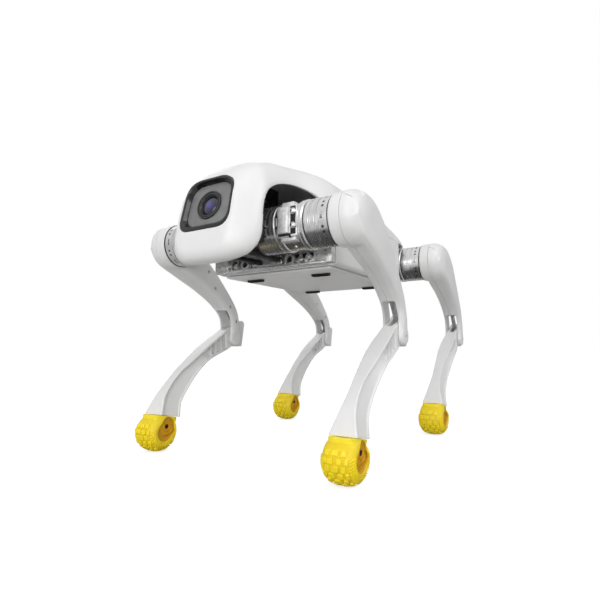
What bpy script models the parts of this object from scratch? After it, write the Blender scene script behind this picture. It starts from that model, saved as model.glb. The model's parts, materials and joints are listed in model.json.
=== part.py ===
"""Four-legged walking robot: shell body, camera head, twelve joint motors and rod-driven knees.

Metres, +Z up. The robot faces -Y, its left side is +X, and its feet stand on z = 0.
"""

from math import atan, cos, pi, radians, sin

import bmesh
import bpy
from mathutils import Matrix, Vector

# ---- Driving dimensions -------------------------------------------------------------------
ORIGIN_SHIFT_Y = -0.0456        # puts the origin under the middle of the whole robot
LEG_PLANE_X = 0.1207            # middle plane of each leg
ROLL_AXIS_X = 0.060             # fore-and-aft axis that each hip rolls about
HIP_Z = 0.2387                  # height of the roll and pitch axes
FRONT_HIP_Y = -0.1163
LEG_SPACING_Y = 0.2678          # front hip axis to rear hip axis
KNEE_FROM_HIP = Vector((0, 0.1082, -0.1087))
FOOT_FROM_HIP = Vector((0, -0.0176, -0.2167))

FOOT_RADIUS = 0.022
FOOT_HALF_WIDTH = 0.0166
MOTOR_RADIUS = 0.0246
ROLL_MOTOR_RADIUS = 0.0188
BODY_HALF_WIDTH = 0.082
TRAY_FRONT_Y = -0.074
TRAY_REAR_Y = 0.118
TRAY_BOTTOM_Z = 0.2052
SEAM_Z = 0.2665                 # height where canopy and tray meet
SHELL_WALL = 0.0025
GAP = 0.0003                    # clearance between pieces that touch
CRANK_ARM = 0.014               # hip crank and knee lever, which are equal
SLOT_HALF = 0.0081              # half the gap between the thigh's two fingers

ROUND_STEPS = 20                # sides of a large turned piece
SMALL_STEPS = 10

FACE_TILT = 0.23                # the face leans back this much for each metre of height
FACE_CENTRE = Vector((0, -0.1847, 0.2557))
BUTTON_PLACE = Vector((0, 0.120, 0.2900))


# ---- Scene ----------------------------------------------------------------------------------
def clear_scene():
    for old in list(bpy.data.objects):
        bpy.data.objects.remove(old)


def new_collection(name):
    collection = bpy.data.collections.new(name)
    bpy.context.scene.collection.children.link(collection)
    return collection


clear_scene()
PARTS = new_collection("robot_dog")
CUTTERS = new_collection("cutters")


def material(name, colour, roughness, metallic=0.0):
    made = bpy.data.materials.new(name)
    made.use_nodes = True
    shader = made.node_tree.nodes["Principled BSDF"]
    shader.inputs["Base Color"].default_value = (*colour, 1.0)
    shader.inputs["Roughness"].default_value = roughness
    shader.inputs["Metallic"].default_value = metallic
    return made


WHITE = ("white", (0.86, 0.86, 0.85), 0.32, 0.0)
BLACK = ("black", (0.02, 0.02, 0.022), 0.45, 0.0)
GLOSS_BLACK = ("gloss_black", (0.01, 0.01, 0.012), 0.08, 0.0)
DARK_GREY = ("dark_grey", (0.07, 0.07, 0.07), 0.4, 0.0)
ALUMINIUM = ("aluminium", (0.72, 0.72, 0.73), 0.28, 1.0)
STEEL = ("steel", (0.5, 0.5, 0.52), 0.3, 1.0)
YELLOW = ("yellow_rubber", (0.95, 0.68, 0.0), 0.6, 0.0)
GREEN = ("board_green", (0.02, 0.16, 0.07), 0.5, 0.0)
LENS_GLASS = ("lens_glass", (0.05, 0.03, 0.16), 0.03, 0.0)


# ---- Making objects -------------------------------------------------------------------------
def add_object(name, mesh, look=None):
    """An object in the parts, with its own material, or in the cutters when it has no look."""
    made = bpy.data.objects.new(name, mesh)
    if look is None:
        CUTTERS.objects.link(made)
        made.hide_render = True
        made.display_type = "WIRE"
    else:
        PARTS.objects.link(made)
        mesh.materials.clear()
        mesh.materials.append(material(f"{name}_{look[0]}", *look[1:]))
    return made


def mesh_from(name, bm):
    bmesh.ops.recalc_face_normals(bm, faces=bm.faces)
    mesh = bpy.data.meshes.new(name)
    bm.to_mesh(mesh)
    bm.free()
    mesh.shade_smooth()
    mesh.set_sharp_from_angle(angle=radians(35))
    return mesh


def block(name, low, high, look=None, bevel=0.0):
    """A box between two corners, with its edges bevelled."""
    low, high = Vector(low), Vector(high)
    bm = bmesh.new()
    bmesh.ops.create_cube(bm, size=1.0)
    bmesh.ops.scale(bm, vec=high - low, verts=bm.verts)
    bmesh.ops.translate(bm, vec=(low + high) / 2, verts=bm.verts)
    if bevel:
        bmesh.ops.bevel(bm, geom=bm.edges, offset=bevel, segments=2, profile=0.5, affect="EDGES")
    return add_object(name, mesh_from(name, bm), look)


AXIS_TURN = {
    "X": Matrix.Rotation(pi / 2, 4, "Y"),
    "Y": Matrix.Rotation(-pi / 2, 4, "X"),
    "Z": Matrix.Identity(4),
}


def merge_flat_ends(mesh, steps):
    """Makes one face of the fan of triangles in each flat end of a turned piece."""
    bm = bmesh.new()
    bm.from_mesh(mesh)
    hubs = [vert for vert in bm.verts if len(vert.link_faces) == steps]
    flat = [hub for hub in hubs if hub.link_faces[0].normal.dot(hub.link_faces[1].normal) > 0.99999]
    bmesh.ops.dissolve_verts(bm, verts=flat)
    bm.to_mesh(mesh)
    bm.free()


def turned(name, profile, axis, centre, look=None, steps=ROUND_STEPS):
    """A profile of (radius, height) points, top first, turned about an axis through centre."""
    mesh = bpy.data.meshes.new(name)
    points = [(radius, 0, height) for radius, height in profile]
    edges = [(i, i + 1) for i in range(len(points) - 1)]
    if profile[0][0] > 0:
        edges.append((len(points) - 1, 0))
    mesh.from_pydata(points, edges, [])
    made = add_object(name, mesh, look)
    screw = made.modifiers.new("Turn", "SCREW")
    screw.steps = screw.render_steps = steps
    screw.use_merge_vertices = True
    screw.merge_threshold = 0.00001
    bake(made)
    merge_flat_ends(made.data, steps)
    made.data.transform(Matrix.Translation(centre) @ AXIS_TURN[axis])
    return made


def rod(name, start, end, radius, look=None, steps=SMALL_STEPS):
    """A plain cylinder from start to end."""
    start, end = Vector(start), Vector(end)
    run = end - start
    bm = bmesh.new()
    bmesh.ops.create_cone(
        bm, cap_ends=True, segments=steps, radius1=radius, radius2=radius, depth=run.length
    )
    turn = run.to_track_quat("Z", "Y").to_matrix().to_4x4()
    bmesh.ops.transform(bm, matrix=Matrix.Translation((start + end) / 2) @ turn, verts=bm.verts)
    return add_object(name, mesh_from(name, bm), look)


def is_flat(face):
    """Whether a quad's fourth corner lies in the plane of the other three."""
    a, b, c, d = (vert.co for vert in face.verts)
    return abs((d - a).dot((b - a).cross(c - a).normalized())) < 0.0000005


def loft(name, rings, look=None):
    """Closed rings of equal point counts, joined in order and closed at both ends."""
    bm = bmesh.new()
    rows = [[bm.verts.new(point) for point in ring] for ring in rings]
    for here, there in zip(rows, rows[1:]):
        for i in range(len(here)):
            j = (i + 1) % len(here)
            bm.faces.new((here[i], here[j], there[j], there[i]))
    bm.faces.new(rows[0])
    bm.faces.new(rows[-1][::-1])
    bent = [face for face in bm.faces if len(face.verts) == 4 and not is_flat(face)]
    bmesh.ops.triangulate(bm, faces=bent)
    return add_object(name, mesh_from(name, bm), look)


def prism(name, outline, x_low, x_high, look=None):
    """A (y, z) outline run along X."""
    rings = [[(x, y, z) for y, z in outline] for x in (x_low, x_high)]
    return loft(name, rings, look)


def bake(target):
    """Replaces an object's mesh by the result of its modifiers."""
    graph = bpy.context.evaluated_depsgraph_get()
    mesh = bpy.data.meshes.new_from_object(target.evaluated_get(graph))
    target.modifiers.clear()
    target.data = mesh
    mesh.shade_smooth()
    mesh.set_sharp_from_angle(angle=radians(35))


def combine(target, other, operation):
    step = target.modifiers.new(other.name, "BOOLEAN")
    step.operation = operation
    step.object = other
    bake(target)
    bpy.data.objects.remove(other)


def cut(target, *others):
    for other in others:
        combine(target, other, "DIFFERENCE")


def join(target, *others):
    for other in others:
        combine(target, other, "UNION")


def rounded(corners, radius, steps):
    """A closed 2D outline with every corner replaced by a short arc."""
    outline = []
    for i, corner in enumerate(corners):
        corner = Vector(corner)
        to_last = Vector(corners[i - 1]) - corner
        to_next = Vector(corners[(i + 1) % len(corners)]) - corner
        reach = min(radius, to_last.length * 0.48, to_next.length * 0.48)
        start = corner + to_last.normalized() * reach
        end = corner + to_next.normalized() * reach
        for k in range(steps + 1):
            t = k / steps
            outline.append(start * (1 - t) ** 2 + corner * 2 * t * (1 - t) + end * t * t)
    return outline


# ---- Body shells ----------------------------------------------------------------------------
# Each station of the canopy: y, half width, height of the widest line, crown above it,
# depth below it, and how square the section is.
CANOPY_STATIONS = (
    (-0.1847, 0.0335, 0.243, 0.0290, 0.0310, 3.4),
    (-0.1835, 0.0362, 0.243, 0.0360, 0.0370, 3.4),
    (-0.1795, 0.0408, 0.243, 0.0440, 0.0425, 3.4),
    (-0.1730, 0.0474, 0.243, 0.0520, 0.0455, 3.4),
    (-0.1640, 0.0530, 0.243, 0.0590, 0.0460, 3.4),
    (-0.1480, 0.0556, 0.243, 0.0645, 0.0460, 3.3),
    (-0.1280, 0.0590, 0.243, 0.0690, 0.0460, 3.2),
    (-0.1080, 0.0645, 0.244, 0.0710, 0.0460, 3.0),
    (-0.0900, 0.0730, 0.245, 0.0720, 0.0460, 2.9),
    (-0.0740, 0.0795, 0.247, 0.0715, 0.0460, 2.8),
    (-0.0500, BODY_HALF_WIDTH + 0.0006, 0.250, 0.0690, 0.0460, 2.8),
    (0.0300, BODY_HALF_WIDTH + 0.0006, 0.250, 0.0660, 0.0460, 2.8),
    (0.0900, BODY_HALF_WIDTH + 0.0006, 0.250, 0.0570, 0.0460, 2.8),
    (0.1300, 0.0812, 0.250, 0.0490, 0.0460, 2.8),
    (0.1520, 0.0785, 0.250, 0.0430, 0.0460, 2.8),
    (0.1640, 0.0720, 0.250, 0.0350, 0.0400, 2.8),
    (0.1690, 0.0640, 0.250, 0.0270, 0.0300, 2.8),
)
RING_POINTS = 24


def face_lean(y, z):
    """How far a point moves in y because the front of the head leans back."""
    fade = max(0.0, min(1.0, (-0.125 - y) / 0.045))
    return FACE_TILT * (z - FACE_CENTRE.z) * fade


def canopy_ring(station, inset):
    y, half_width, level, crown, depth, power = station
    ring = []
    for i in range(RING_POINTS):
        angle = 2 * pi * i / RING_POINTS
        side, up = cos(angle), sin(angle)
        spread = abs(side) ** power + abs(up) ** power
        scale = spread ** (-1 / power)
        height = (crown if up > 0 else depth) - inset
        x = side * scale * (half_width - inset)
        z = level + up * scale * height
        ring.append((x, y + face_lean(y, z), z))
    return ring


def canopy_body(name, inset, first_y, last_y, look=None):
    """The filled form of the canopy, drawn in by inset and kept between two stations."""
    kept = [station for station in CANOPY_STATIONS if first_y <= station[0] <= last_y]
    return loft(name, [canopy_ring(station, inset) for station in kept], look)


ARCH_OUTLINE = (
    (-0.1785, 0.150), (-0.1785, 0.197), (-0.1715, 0.205), (-0.1672, 0.220), (-0.1658, 0.240),
    (-0.1642, 0.256), (-0.1585, 0.2685), (-0.1490, 0.2762), (-0.1360, 0.2810), (-0.1220, 0.2830),
    (-0.1080, 0.2825), (-0.0950, 0.279), (-0.0850, 0.2725), (-0.0770, 0.2690), (-0.0640, SEAM_Z),
    (0.200, SEAM_Z), (0.200, 0.150),
)


def make_canopy():
    """One shell: the head's mask, the roof over the front hips, and the back cover."""
    canopy = canopy_body("canopy", 0.0, -1, 1, WHITE)
    hollow = canopy_body("canopy_hollow", SHELL_WALL, -0.1830, 0.1660)
    cut(canopy, hollow, prism("canopy_underside", ARCH_OUTLINE, -0.12, 0.12))
    cut(canopy, face_opening("face_opening", 0.0318, 0.0282, -0.010, 0.012))
    button_top = BUTTON_PLACE + Vector((0, 0, 0.03))
    cut(canopy, rod("button_hole", BUTTON_PLACE, button_top, 0.0064, steps=20))
    return canopy


def face_outline(half_width, half_height, corner, steps=4):
    corners = (
        (-half_width, -half_height),
        (half_width, -half_height),
        (half_width, half_height),
        (-half_width, half_height),
    )
    return rounded(corners, corner, steps)


def on_face(x, up, depth):
    """A point on the leaning face: across, up the face, and behind it."""
    lean = Vector((0, FACE_TILT, 1)).normalized()
    inward = Vector((0, 1, -FACE_TILT)).normalized()
    return FACE_CENTRE + Vector((1, 0, 0)) * x + lean * up + inward * depth


def face_ring(half_width, half_height, corner, depth, steps=4):
    return [on_face(p.x, p.y, depth) for p in face_outline(half_width, half_height, corner, steps)]


def face_opening(name, half_width, half_height, front, back):
    rings = [face_ring(half_width, half_height, 0.019, depth) for depth in (front, back)]
    return loft(name, rings)


def make_camera():
    """The camera's bevelled frame, front panel, lens and the module behind them."""
    outer = (
        (0.0313, 0.0277, -0.0002),
        (0.0313, 0.0277, 0.0078),
    )
    bezel = loft("camera_bezel", [face_ring(w, h, 0.0187, d) for w, h, d in outer], GLOSS_BLACK)
    inner = (
        (0.0300, 0.0264, -0.0010),
        (0.0268, 0.0231, 0.0022),
        (0.0268, 0.0231, 0.0100),
    )
    cut(bezel, loft("bezel_hole", [face_ring(w, h, 0.0170, d) for w, h, d in inner]))
    panel = loft(
        "camera_panel",
        [face_ring(0.0265, 0.0228, 0.0166, d) for d in (0.0012, 0.0050)],
        DARK_GREY,
    )
    cut(panel, rod("panel_hole", on_face(0, 0, -0.01), on_face(0, 0, 0.02), 0.0123, steps=20))
    ring = ((0.0086, 0.0006), (0.0120, 0.0006), (0.0120, -0.0130), (0.0086, -0.0130))
    barrel = turned("lens_barrel", ring, "Z", (0, 0, 0), BLACK)
    glass = ((0, -0.0004), (0.0045, -0.0010), (0.0083, -0.0026), (0.0083, -0.0060), (0, -0.0060))
    lens = turned("lens", glass, "Z", (0, 0, 0), LENS_GLASS)
    facing = Matrix.Rotation(pi / 2 - atan(FACE_TILT), 4, "X")
    for piece in (barrel, lens):
        piece.data.transform(Matrix.Translation(FACE_CENTRE) @ facing)
    module = loft(
        "camera_module",
        [face_ring(0.0180, 0.0165, 0.003, d, steps=1) for d in (0.0135, 0.0230)],
        GREEN,
    )
    return [bezel, panel, barrel, lens, module]


def make_tray():
    """The open tub under the canopy, with a cover plate under it."""
    side, inner = BODY_HALF_WIDTH, BODY_HALF_WIDTH - SHELL_WALL
    top, floor = SEAM_Z - GAP, TRAY_BOTTOM_Z
    section = rounded(
        (
            (-side, top), (-side, floor), (side, floor), (side, top),
            (inner, top), (inner, floor + SHELL_WALL), (-inner, floor + SHELL_WALL), (-inner, top),
        ),
        0.008,
        4,
    )
    rings = [[(x, y, z) for x, z in section] for y in (TRAY_FRONT_Y, TRAY_REAR_Y)]
    tray = loft("belly_tray", rings, WHITE)
    plate_low = (-0.0740, TRAY_FRONT_Y + 0.003, 0.2020)
    plate_high = (0.0740, TRAY_REAR_Y - 0.006, TRAY_BOTTOM_Z - GAP)
    plate = block("belly_plate", plate_low, plate_high, WHITE, bevel=0.0012)
    for x in (-0.050, 0.045):
        for y in (-0.042, 0.100):
            low, high = (x - 0.011, y - 0.003, 0.19), (x + 0.011, y + 0.003, 0.21)
            cut(plate, block("plate_slot", low, high))
    return [tray, plate]


def make_chassis():
    """Aluminium floor with an upright bulkhead at each end, bored for the roll motors."""
    floor_z = TRAY_BOTTOM_Z + SHELL_WALL + GAP
    front, rear = TRAY_FRONT_Y, TRAY_REAR_Y
    low, high = (-0.0690, front - 0.004, floor_z), (0.0690, rear + 0.002, floor_z + 0.003)
    chassis = block("chassis_frame", low, high, ALUMINIUM)
    side, top = 0.0765, 0.2625
    corners = ((-side, floor_z), (side, floor_z), (side, top), (-side, top))
    for y in (front - 0.004, rear - 0.002):
        outline = rounded(corners, 0.0095, 2)
        join(chassis, loft("bulkhead", [[(x, way, z) for x, z in outline] for way in (y, y + 0.004)]))
    bore = ROLL_MOTOR_RADIUS + 0.0004
    for x in (-ROLL_AXIS_X, ROLL_AXIS_X):
        cut(chassis, rod("roll_bore", (x, -0.1, HIP_Z), (x, 0.2, HIP_Z), bore, steps=ROUND_STEPS))
    cut(chassis, block("cable_window", (-0.022, -0.1, 0.228), (0.022, 0.2, 0.254)))
    for x in (-0.035, 0.035):
        cut(chassis, block("floor_window", (x - 0.024, -0.030, 0.19), (x + 0.024, 0.060, 0.215)))
    return chassis


def make_inside():
    """Battery, main board, and the black frame that carries the head."""
    battery = block("battery", (-0.034, -0.040, 0.2125), (0.034, 0.074, 0.2480), BLACK, bevel=0.003)
    board = block("main_board", (-0.0440, -0.055, 0.2660), (0.0440, 0.085, 0.2676), GREEN)
    bracket = block("head_bracket", (-0.0100, -0.1560, 0.2240), (0.0100, -0.0786, 0.2960), BLACK)
    cut(bracket, block("bracket_window", (-0.02, -0.145, 0.236), (0.02, -0.092, 0.284)))
    back = loft(
        "bracket_plate",
        [face_ring(0.0440, 0.0400, 0.012, d, steps=2) for d in (0.0262, 0.0292)],
    )
    join(bracket, back)
    return [battery, board, bracket]


def make_liner():
    """Black inner skin under the front of the roof."""
    gap = SHELL_WALL + 0.0006
    liner = canopy_body("canopy_liner", gap, -0.165, -0.049, BLACK)
    hollow = canopy_body("liner_hollow", gap + 0.0016, -0.175, 0.031)
    below = block("liner_under", (-0.2, -0.3, 0.1), (0.2, 0.1, 0.2862))
    ends = block("liner_front", (-0.2, -0.3, 0.1), (0.2, -0.1530, 0.4))
    back = block("liner_back", (-0.2, -0.0560, 0.1), (0.2, 0.1, 0.4))
    cut(liner, below, ends, back, hollow)
    return liner


def make_roll_motors():
    """The four motors that roll the hips, two in each bulkhead."""
    motors = []
    radius = ROLL_MOTOR_RADIUS
    for end, y, way in (("f", TRAY_FRONT_Y - 0.0150, 1), ("r", TRAY_REAR_Y + 0.0062, -1)):
        for side, sign in (("l", 1), ("r", -1)):
            profile = (
                (0, 0.0), (0.0120, 0.0), (0.0120, -0.0060), (radius - 0.0012, -0.0060),
                (radius, -0.0072), (radius, -0.0420), (radius - 0.0015, -0.0435), (0, -0.0435),
            )
            motor = turned(f"roll_motor_{end}{side}", profile, "Y", (0, 0, 0), STEEL)
            if way > 0:
                motor.data.transform(Matrix.Rotation(pi, 4, "Z"))
            motor.data.transform(Matrix.Translation((sign * ROLL_AXIS_X, y, HIP_Z)))
            motors.append(motor)
    return motors


def make_button():
    """Power button in the roof, free to travel down."""
    profile = ((0, 0.0136), (0.0052, 0.0136), (0.0060, 0.0128), (0.0060, 0.0062), (0, 0.0062))
    return turned("power_button", profile, "Z", BUTTON_PLACE, DARK_GREY, steps=20)


# ---- Leg: drawn once, at the front left -----------------------------------------------------
HIP = Vector((LEG_PLANE_X, FRONT_HIP_Y, HIP_Z))
KNEE = HIP + KNEE_FROM_HIP
FOOT = HIP + FOOT_FROM_HIP
ARM_WAY = Vector((0, -KNEE_FROM_HIP.z, KNEE_FROM_HIP.y)).normalized()
LEVER = ARM_WAY * CRANK_ARM     # from the hip or knee axis to its push rod pin


def make_hip_motor():
    """The outer motor, which turns the thigh and is hollow for the knee motor's shaft."""
    bore, radius = 0.0052, MOTOR_RADIUS
    profile = (
        (bore, 0.1077), (radius - 0.0020, 0.1077), (radius, 0.1064), (radius, 0.0818),
        (radius - 0.0012, 0.0805), (bore, 0.0805),
    )
    return turned("hip_motor", profile, "X", (0, HIP.y, HIP.z), ALUMINIUM)


def make_knee_motor():
    """The inner motor, whose shaft runs out through the bracket and the hip motor."""
    radius = MOTOR_RADIUS
    profile = (
        (0, 0.0478), (radius - 0.0014, 0.0478), (radius, 0.0466), (radius, 0.0214),
        (radius - 0.0012, 0.0202), (0, 0.0202),
    )
    return turned("knee_motor", profile, "X", (0, HIP.y, HIP.z), ALUMINIUM)


def make_bracket():
    """The hip carrier: a barrel between the two motors, with a bolted plate and a roll boss."""
    bore, radius = 0.0052, 0.0252
    profile = (
        (bore, 0.0802), (radius, 0.0802), (radius, 0.0758), (radius - 0.0009, 0.0752),
        (radius - 0.0009, 0.0540), (radius, 0.0534), (radius, 0.0481), (bore, 0.0481),
    )
    bracket = turned("hip_bracket", profile, "X", (0, HIP.y, HIP.z), ALUMINIUM)
    plate = block(
        "bracket_face",
        (0.0500, HIP.y - 0.0262, HIP.z - 0.0205),
        (0.0700, HIP.y - 0.0120, HIP.z + 0.0205),
        bevel=0.0010,
    )
    boss_back = TRAY_FRONT_Y - 0.0150 - GAP
    boss = rod(
        "roll_boss",
        (ROLL_AXIS_X, HIP.y + 0.012, HIP.z),
        (ROLL_AXIS_X, boss_back, HIP.z),
        0.0115,
        steps=16,
    )
    join(bracket, plate, boss)
    return bracket


# Each station of the thigh: its centre from the hip axis as (y, z), then how far the
# section reaches to its front and its back, on the outer side and on the inner side.
THIGH_STATIONS = (
    ((0.0060, -0.0040), 0.0230, 0.0265, 0.0200, 0.0245, 0.1385),
    ((0.0280, -0.0190), 0.0180, 0.0260, 0.0150, 0.0225, 0.1390),
    ((0.0523, -0.0347), 0.0140, 0.0230, 0.0095, 0.0198, 0.1375),
    ((0.0783, -0.0537), 0.0095, 0.0170, 0.0065, 0.0155, 0.1360),
    ((0.0963, -0.0685), 0.0088, 0.0122, 0.0072, 0.0120, 0.1350),
    ((0.1045, -0.0797), 0.0090, 0.0097, 0.0082, 0.0105, 0.1345),
    ((0.1080, -0.0927), 0.0100, 0.0098, 0.0095, 0.0092, 0.1343),
    ((0.1082, -0.1040), 0.0108, 0.0108, 0.0105, 0.0105, 0.1340),
)
THIGH_INNER_X = 0.1084
DRUM_PROFILE = (
    (0, 0.1412), (0.0120, 0.1393), (0.0200, 0.1356), (0.0250, 0.1307), (0.0267, 0.1258),
    (0.0267, 0.1210), (0.0264, 0.1180), (0.0262, 0.1088), (0.0252, 0.1080), (0, 0.1080),
)


def station_frame(stations, index):
    """Centre and sideways direction of one station, square to the run between its neighbours."""
    centre = Vector((0, *stations[index][0]))
    before = Vector((0, *stations[max(index - 1, 0)][0]))
    after = Vector((0, *stations[min(index + 1, len(stations) - 1)][0]))
    run = (after - before).normalized()
    return centre, Vector((0, -run.z, run.y))


def thigh_ring(index, steps=2):
    _, front_out, back_out, front_in, back_in, outer_x = THIGH_STATIONS[index]
    centre, square = station_frame(THIGH_STATIONS, index)
    corners = (
        (THIGH_INNER_X, -front_in), (outer_x, -front_out), (outer_x, back_out), (THIGH_INNER_X, back_in),
    )
    return [
        Vector((p.x, HIP.y, HIP.z)) + centre + square * p.y
        for p in rounded(corners, 0.0085, steps)
    ]


def channel_ring(index):
    """The rod's channel, inside the narrower inner half of the thigh."""
    _, _, _, front, back, _ = THIGH_STATIONS[index]
    centre, square = station_frame(THIGH_STATIONS, index)
    wall = 0.0021
    low, high = -front + wall, back - wall
    half = SLOT_HALF - 0.0002
    sides = (LEG_PLANE_X - half, LEG_PLANE_X + half)
    corners = ((sides[0], low), (sides[1], low), (sides[1], high), (sides[0], high))
    return [Vector((x, HIP.y, HIP.z)) + centre + square * n for x, n in corners]


def make_thigh_form():
    """The filled thigh with its channel, fork and pin holes, before it is split in two."""
    drum = turned("thigh_form", DRUM_PROFILE, "X", (0, HIP.y, HIP.z))
    arm = loft("thigh_arm", [thigh_ring(i) for i in range(len(THIGH_STATIONS))])
    eye = rod("thigh_eye", (THIGH_INNER_X, KNEE.y, KNEE.z), (0.1340, KNEE.y, KNEE.z), 0.0111, steps=16)
    join(drum, arm, eye)
    channel = loft("thigh_channel", [channel_ring(i) for i in range(6)])
    low, high = LEG_PLANE_X - SLOT_HALF, LEG_PLANE_X + SLOT_HALF
    pocket_ends = (low - GAP, HIP.y, HIP.z), (high + GAP, HIP.y, HIP.z)
    pocket = rod("crank_pocket", *pocket_ends, 0.0232, steps=18)
    slot_top = KNEE.z + 0.0375
    slot = block("thigh_slot", (low, KNEE.y - 0.06, KNEE.z - 0.03), (high, KNEE.y + 0.04, slot_top))
    shaft = rod("shaft_hole", (0.100, HIP.y, HIP.z), (LEG_PLANE_X, HIP.y, HIP.z), 0.0050)
    pin = rod("pin_hole", (0.1104, KNEE.y, KNEE.z), (0.1320, KNEE.y, KNEE.z), 0.0043)
    cut(drum, channel, pocket, slot, shaft, pin)
    return drum


def make_thigh_halves():
    """The inner and outer shells, which part on the leg's middle plane."""
    halves = []
    split = ((-1, "thigh_inner"), (1, "thigh_outer"))
    for side, name in split:
        half = make_thigh_form()
        half.name = name
        CUTTERS.objects.unlink(half)
        PARTS.objects.link(half)
        half.hide_render = False
        half.display_type = "TEXTURED"
        half.data.materials.clear()
        half.data.materials.append(material(f"{name}_white", *WHITE[1:]))
        near, far = LEG_PLANE_X + side * GAP / 2, LEG_PLANE_X - side * 0.1
        low, high = min(near, far), max(near, far)
        cut(half, block("other_half", (low, -0.4, 0), (high, 0.4, 0.4)))
        halves.append(half)
    return halves


def make_crank():
    """The knee motor's shaft, its crank inside the thigh, and the crank's pin."""
    crank = rod("knee_crank", (0.0482, HIP.y, HIP.z), (0.1165, HIP.y, HIP.z), 0.0045, STEEL)
    pin_at = HIP + LEVER
    hub = rod("crank_hub", (0.1134, HIP.y, HIP.z), (0.1172, HIP.y, HIP.z), 0.0085, steps=16)
    end = rod("crank_end", (0.1134, pin_at.y, pin_at.z), (0.1172, pin_at.y, pin_at.z), 0.0046)
    pin = rod("crank_pin", (0.1150, pin_at.y, pin_at.z), (0.1262, pin_at.y, pin_at.z), 0.0024)
    side = LEVER.normalized().cross(Vector((1, 0, 0))) * 0.0042
    web = prism(
        "crank_web",
        [(p.y, p.z) for p in (HIP + side, pin_at + side, pin_at - side, HIP - side)],
        0.1136,
        0.1170,
    )
    join(crank, hub, web, end, pin)
    return crank


# The push rod's bends: distance from the crank pin towards the knee, and how far the rod
# stands off the straight line between its two pins there.
ROD_BENDS = ((0.0, 0.0), (0.028, 0.0035), (0.062, 0.0080), (0.094, 0.0100), (0.114, 0.0098), (0.136, 0.0058))


def make_push_rod():
    along = KNEE_FROM_HIP.normalized()
    start = HIP + LEVER
    points = [start + along * run + ARM_WAY * off for run, off in ROD_BENDS]
    points.append(KNEE + LEVER)
    rings = []
    half_x, half_n = 0.0026, 0.0019
    for i, point in enumerate(points):
        ahead = points[min(i + 1, len(points) - 1)] - points[max(i - 1, 0)]
        square = Vector((0, -ahead.z, ahead.y)).normalized()
        corners = ((-half_x, -half_n), (half_x, -half_n), (half_x, half_n), (-half_x, half_n))
        rings.append([point + Vector((x, 0, 0)) + square * n for x, n in corners])
    push = loft("push_rod", rings, STEEL)
    for eye in (start, KNEE + LEVER):
        low, high = (eye.x - 0.0028, eye.y, eye.z), (eye.x + 0.0028, eye.y, eye.z)
        join(push, rod("rod_eye", low, high, 0.0046))
    for eye in (start, KNEE + LEVER):
        low, high = (eye.x - 0.01, eye.y, eye.z), (eye.x + 0.01, eye.y, eye.z)
        cut(push, rod("rod_hole", low, high, 0.0029))
    return push


def make_knee_pin():
    return rod("knee_pin", (0.1107, KNEE.y, KNEE.z), (0.1317, KNEE.y, KNEE.z), 0.0040, STEEL, steps=18)


# Each station of the shank, from the knee to the foot: front edge and back edge as (y, z)
# from the knee axis, half width of the front flange, and half width of the back flange.
SHANK_STATIONS = (
    ((-0.0130, 0.0125), (-0.0060, -0.0125), 0.0074, 0.0074),
    ((-0.0270, 0.0040), (-0.0170, -0.0170), 0.0082, 0.0085),
    ((-0.0440, -0.0060), (-0.0330, -0.0220), 0.0090, 0.0110),
    ((-0.0660, -0.0200), (-0.0520, -0.0290), 0.0090, 0.0125),
    ((-0.0800, -0.0300), (-0.0640, -0.0370), 0.0080, 0.0125),
    ((-0.0950, -0.0405), (-0.0720, -0.0450), 0.0066, 0.0115),
    ((-0.1090, -0.0535), (-0.0800, -0.0550), 0.0062, 0.0102),
    ((-0.1215, -0.0680), (-0.0900, -0.0680), 0.0082, 0.0096),
    ((-0.1275, -0.0790), (-0.0975, -0.0800), 0.0112, 0.0104),
    ((-0.1314, -0.0886), (-0.1005, -0.0916), 0.0142, 0.0124),
)
WEB_HALF = 0.0026
FLANGE = 0.0032


def shank_ring(index):
    """An I-shaped section: front flange, web and back flange."""
    front, back, front_half, back_half = SHANK_STATIONS[index]
    front, back = Vector((0, *front)), Vector((0, *back))
    inward = (back - front).normalized()
    solid = index == 0 or index >= len(SHANK_STATIONS) - 2
    web = min(front_half, back_half) if solid else WEB_HALF
    half = [
        (front, front_half - 0.0022),
        (front + inward * 0.0014, front_half),
        (front + inward * FLANGE, front_half),
        (front + inward * (FLANGE + 0.0012), web),
        (back - inward * (FLANGE + 0.0004), web),
        (back - inward * FLANGE * 0.8, back_half),
        (back, back_half - 0.0006),
    ]
    ring = [KNEE + point + Vector((x, 0, 0)) for point, x in half]
    ring += [KNEE + point - Vector((x, 0, 0)) for point, x in reversed(half)]
    return ring


TONGUE_OUTLINE = (
    (-0.0165, 0.0085), (-0.0105, 0.0130), (0.0010, 0.0165), (0.0120, 0.0245), (0.0215, 0.0250),
    (0.0265, 0.0210), (0.0180, -0.0118), (-0.0060, -0.0118), (-0.0165, -0.0150),
)


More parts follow.
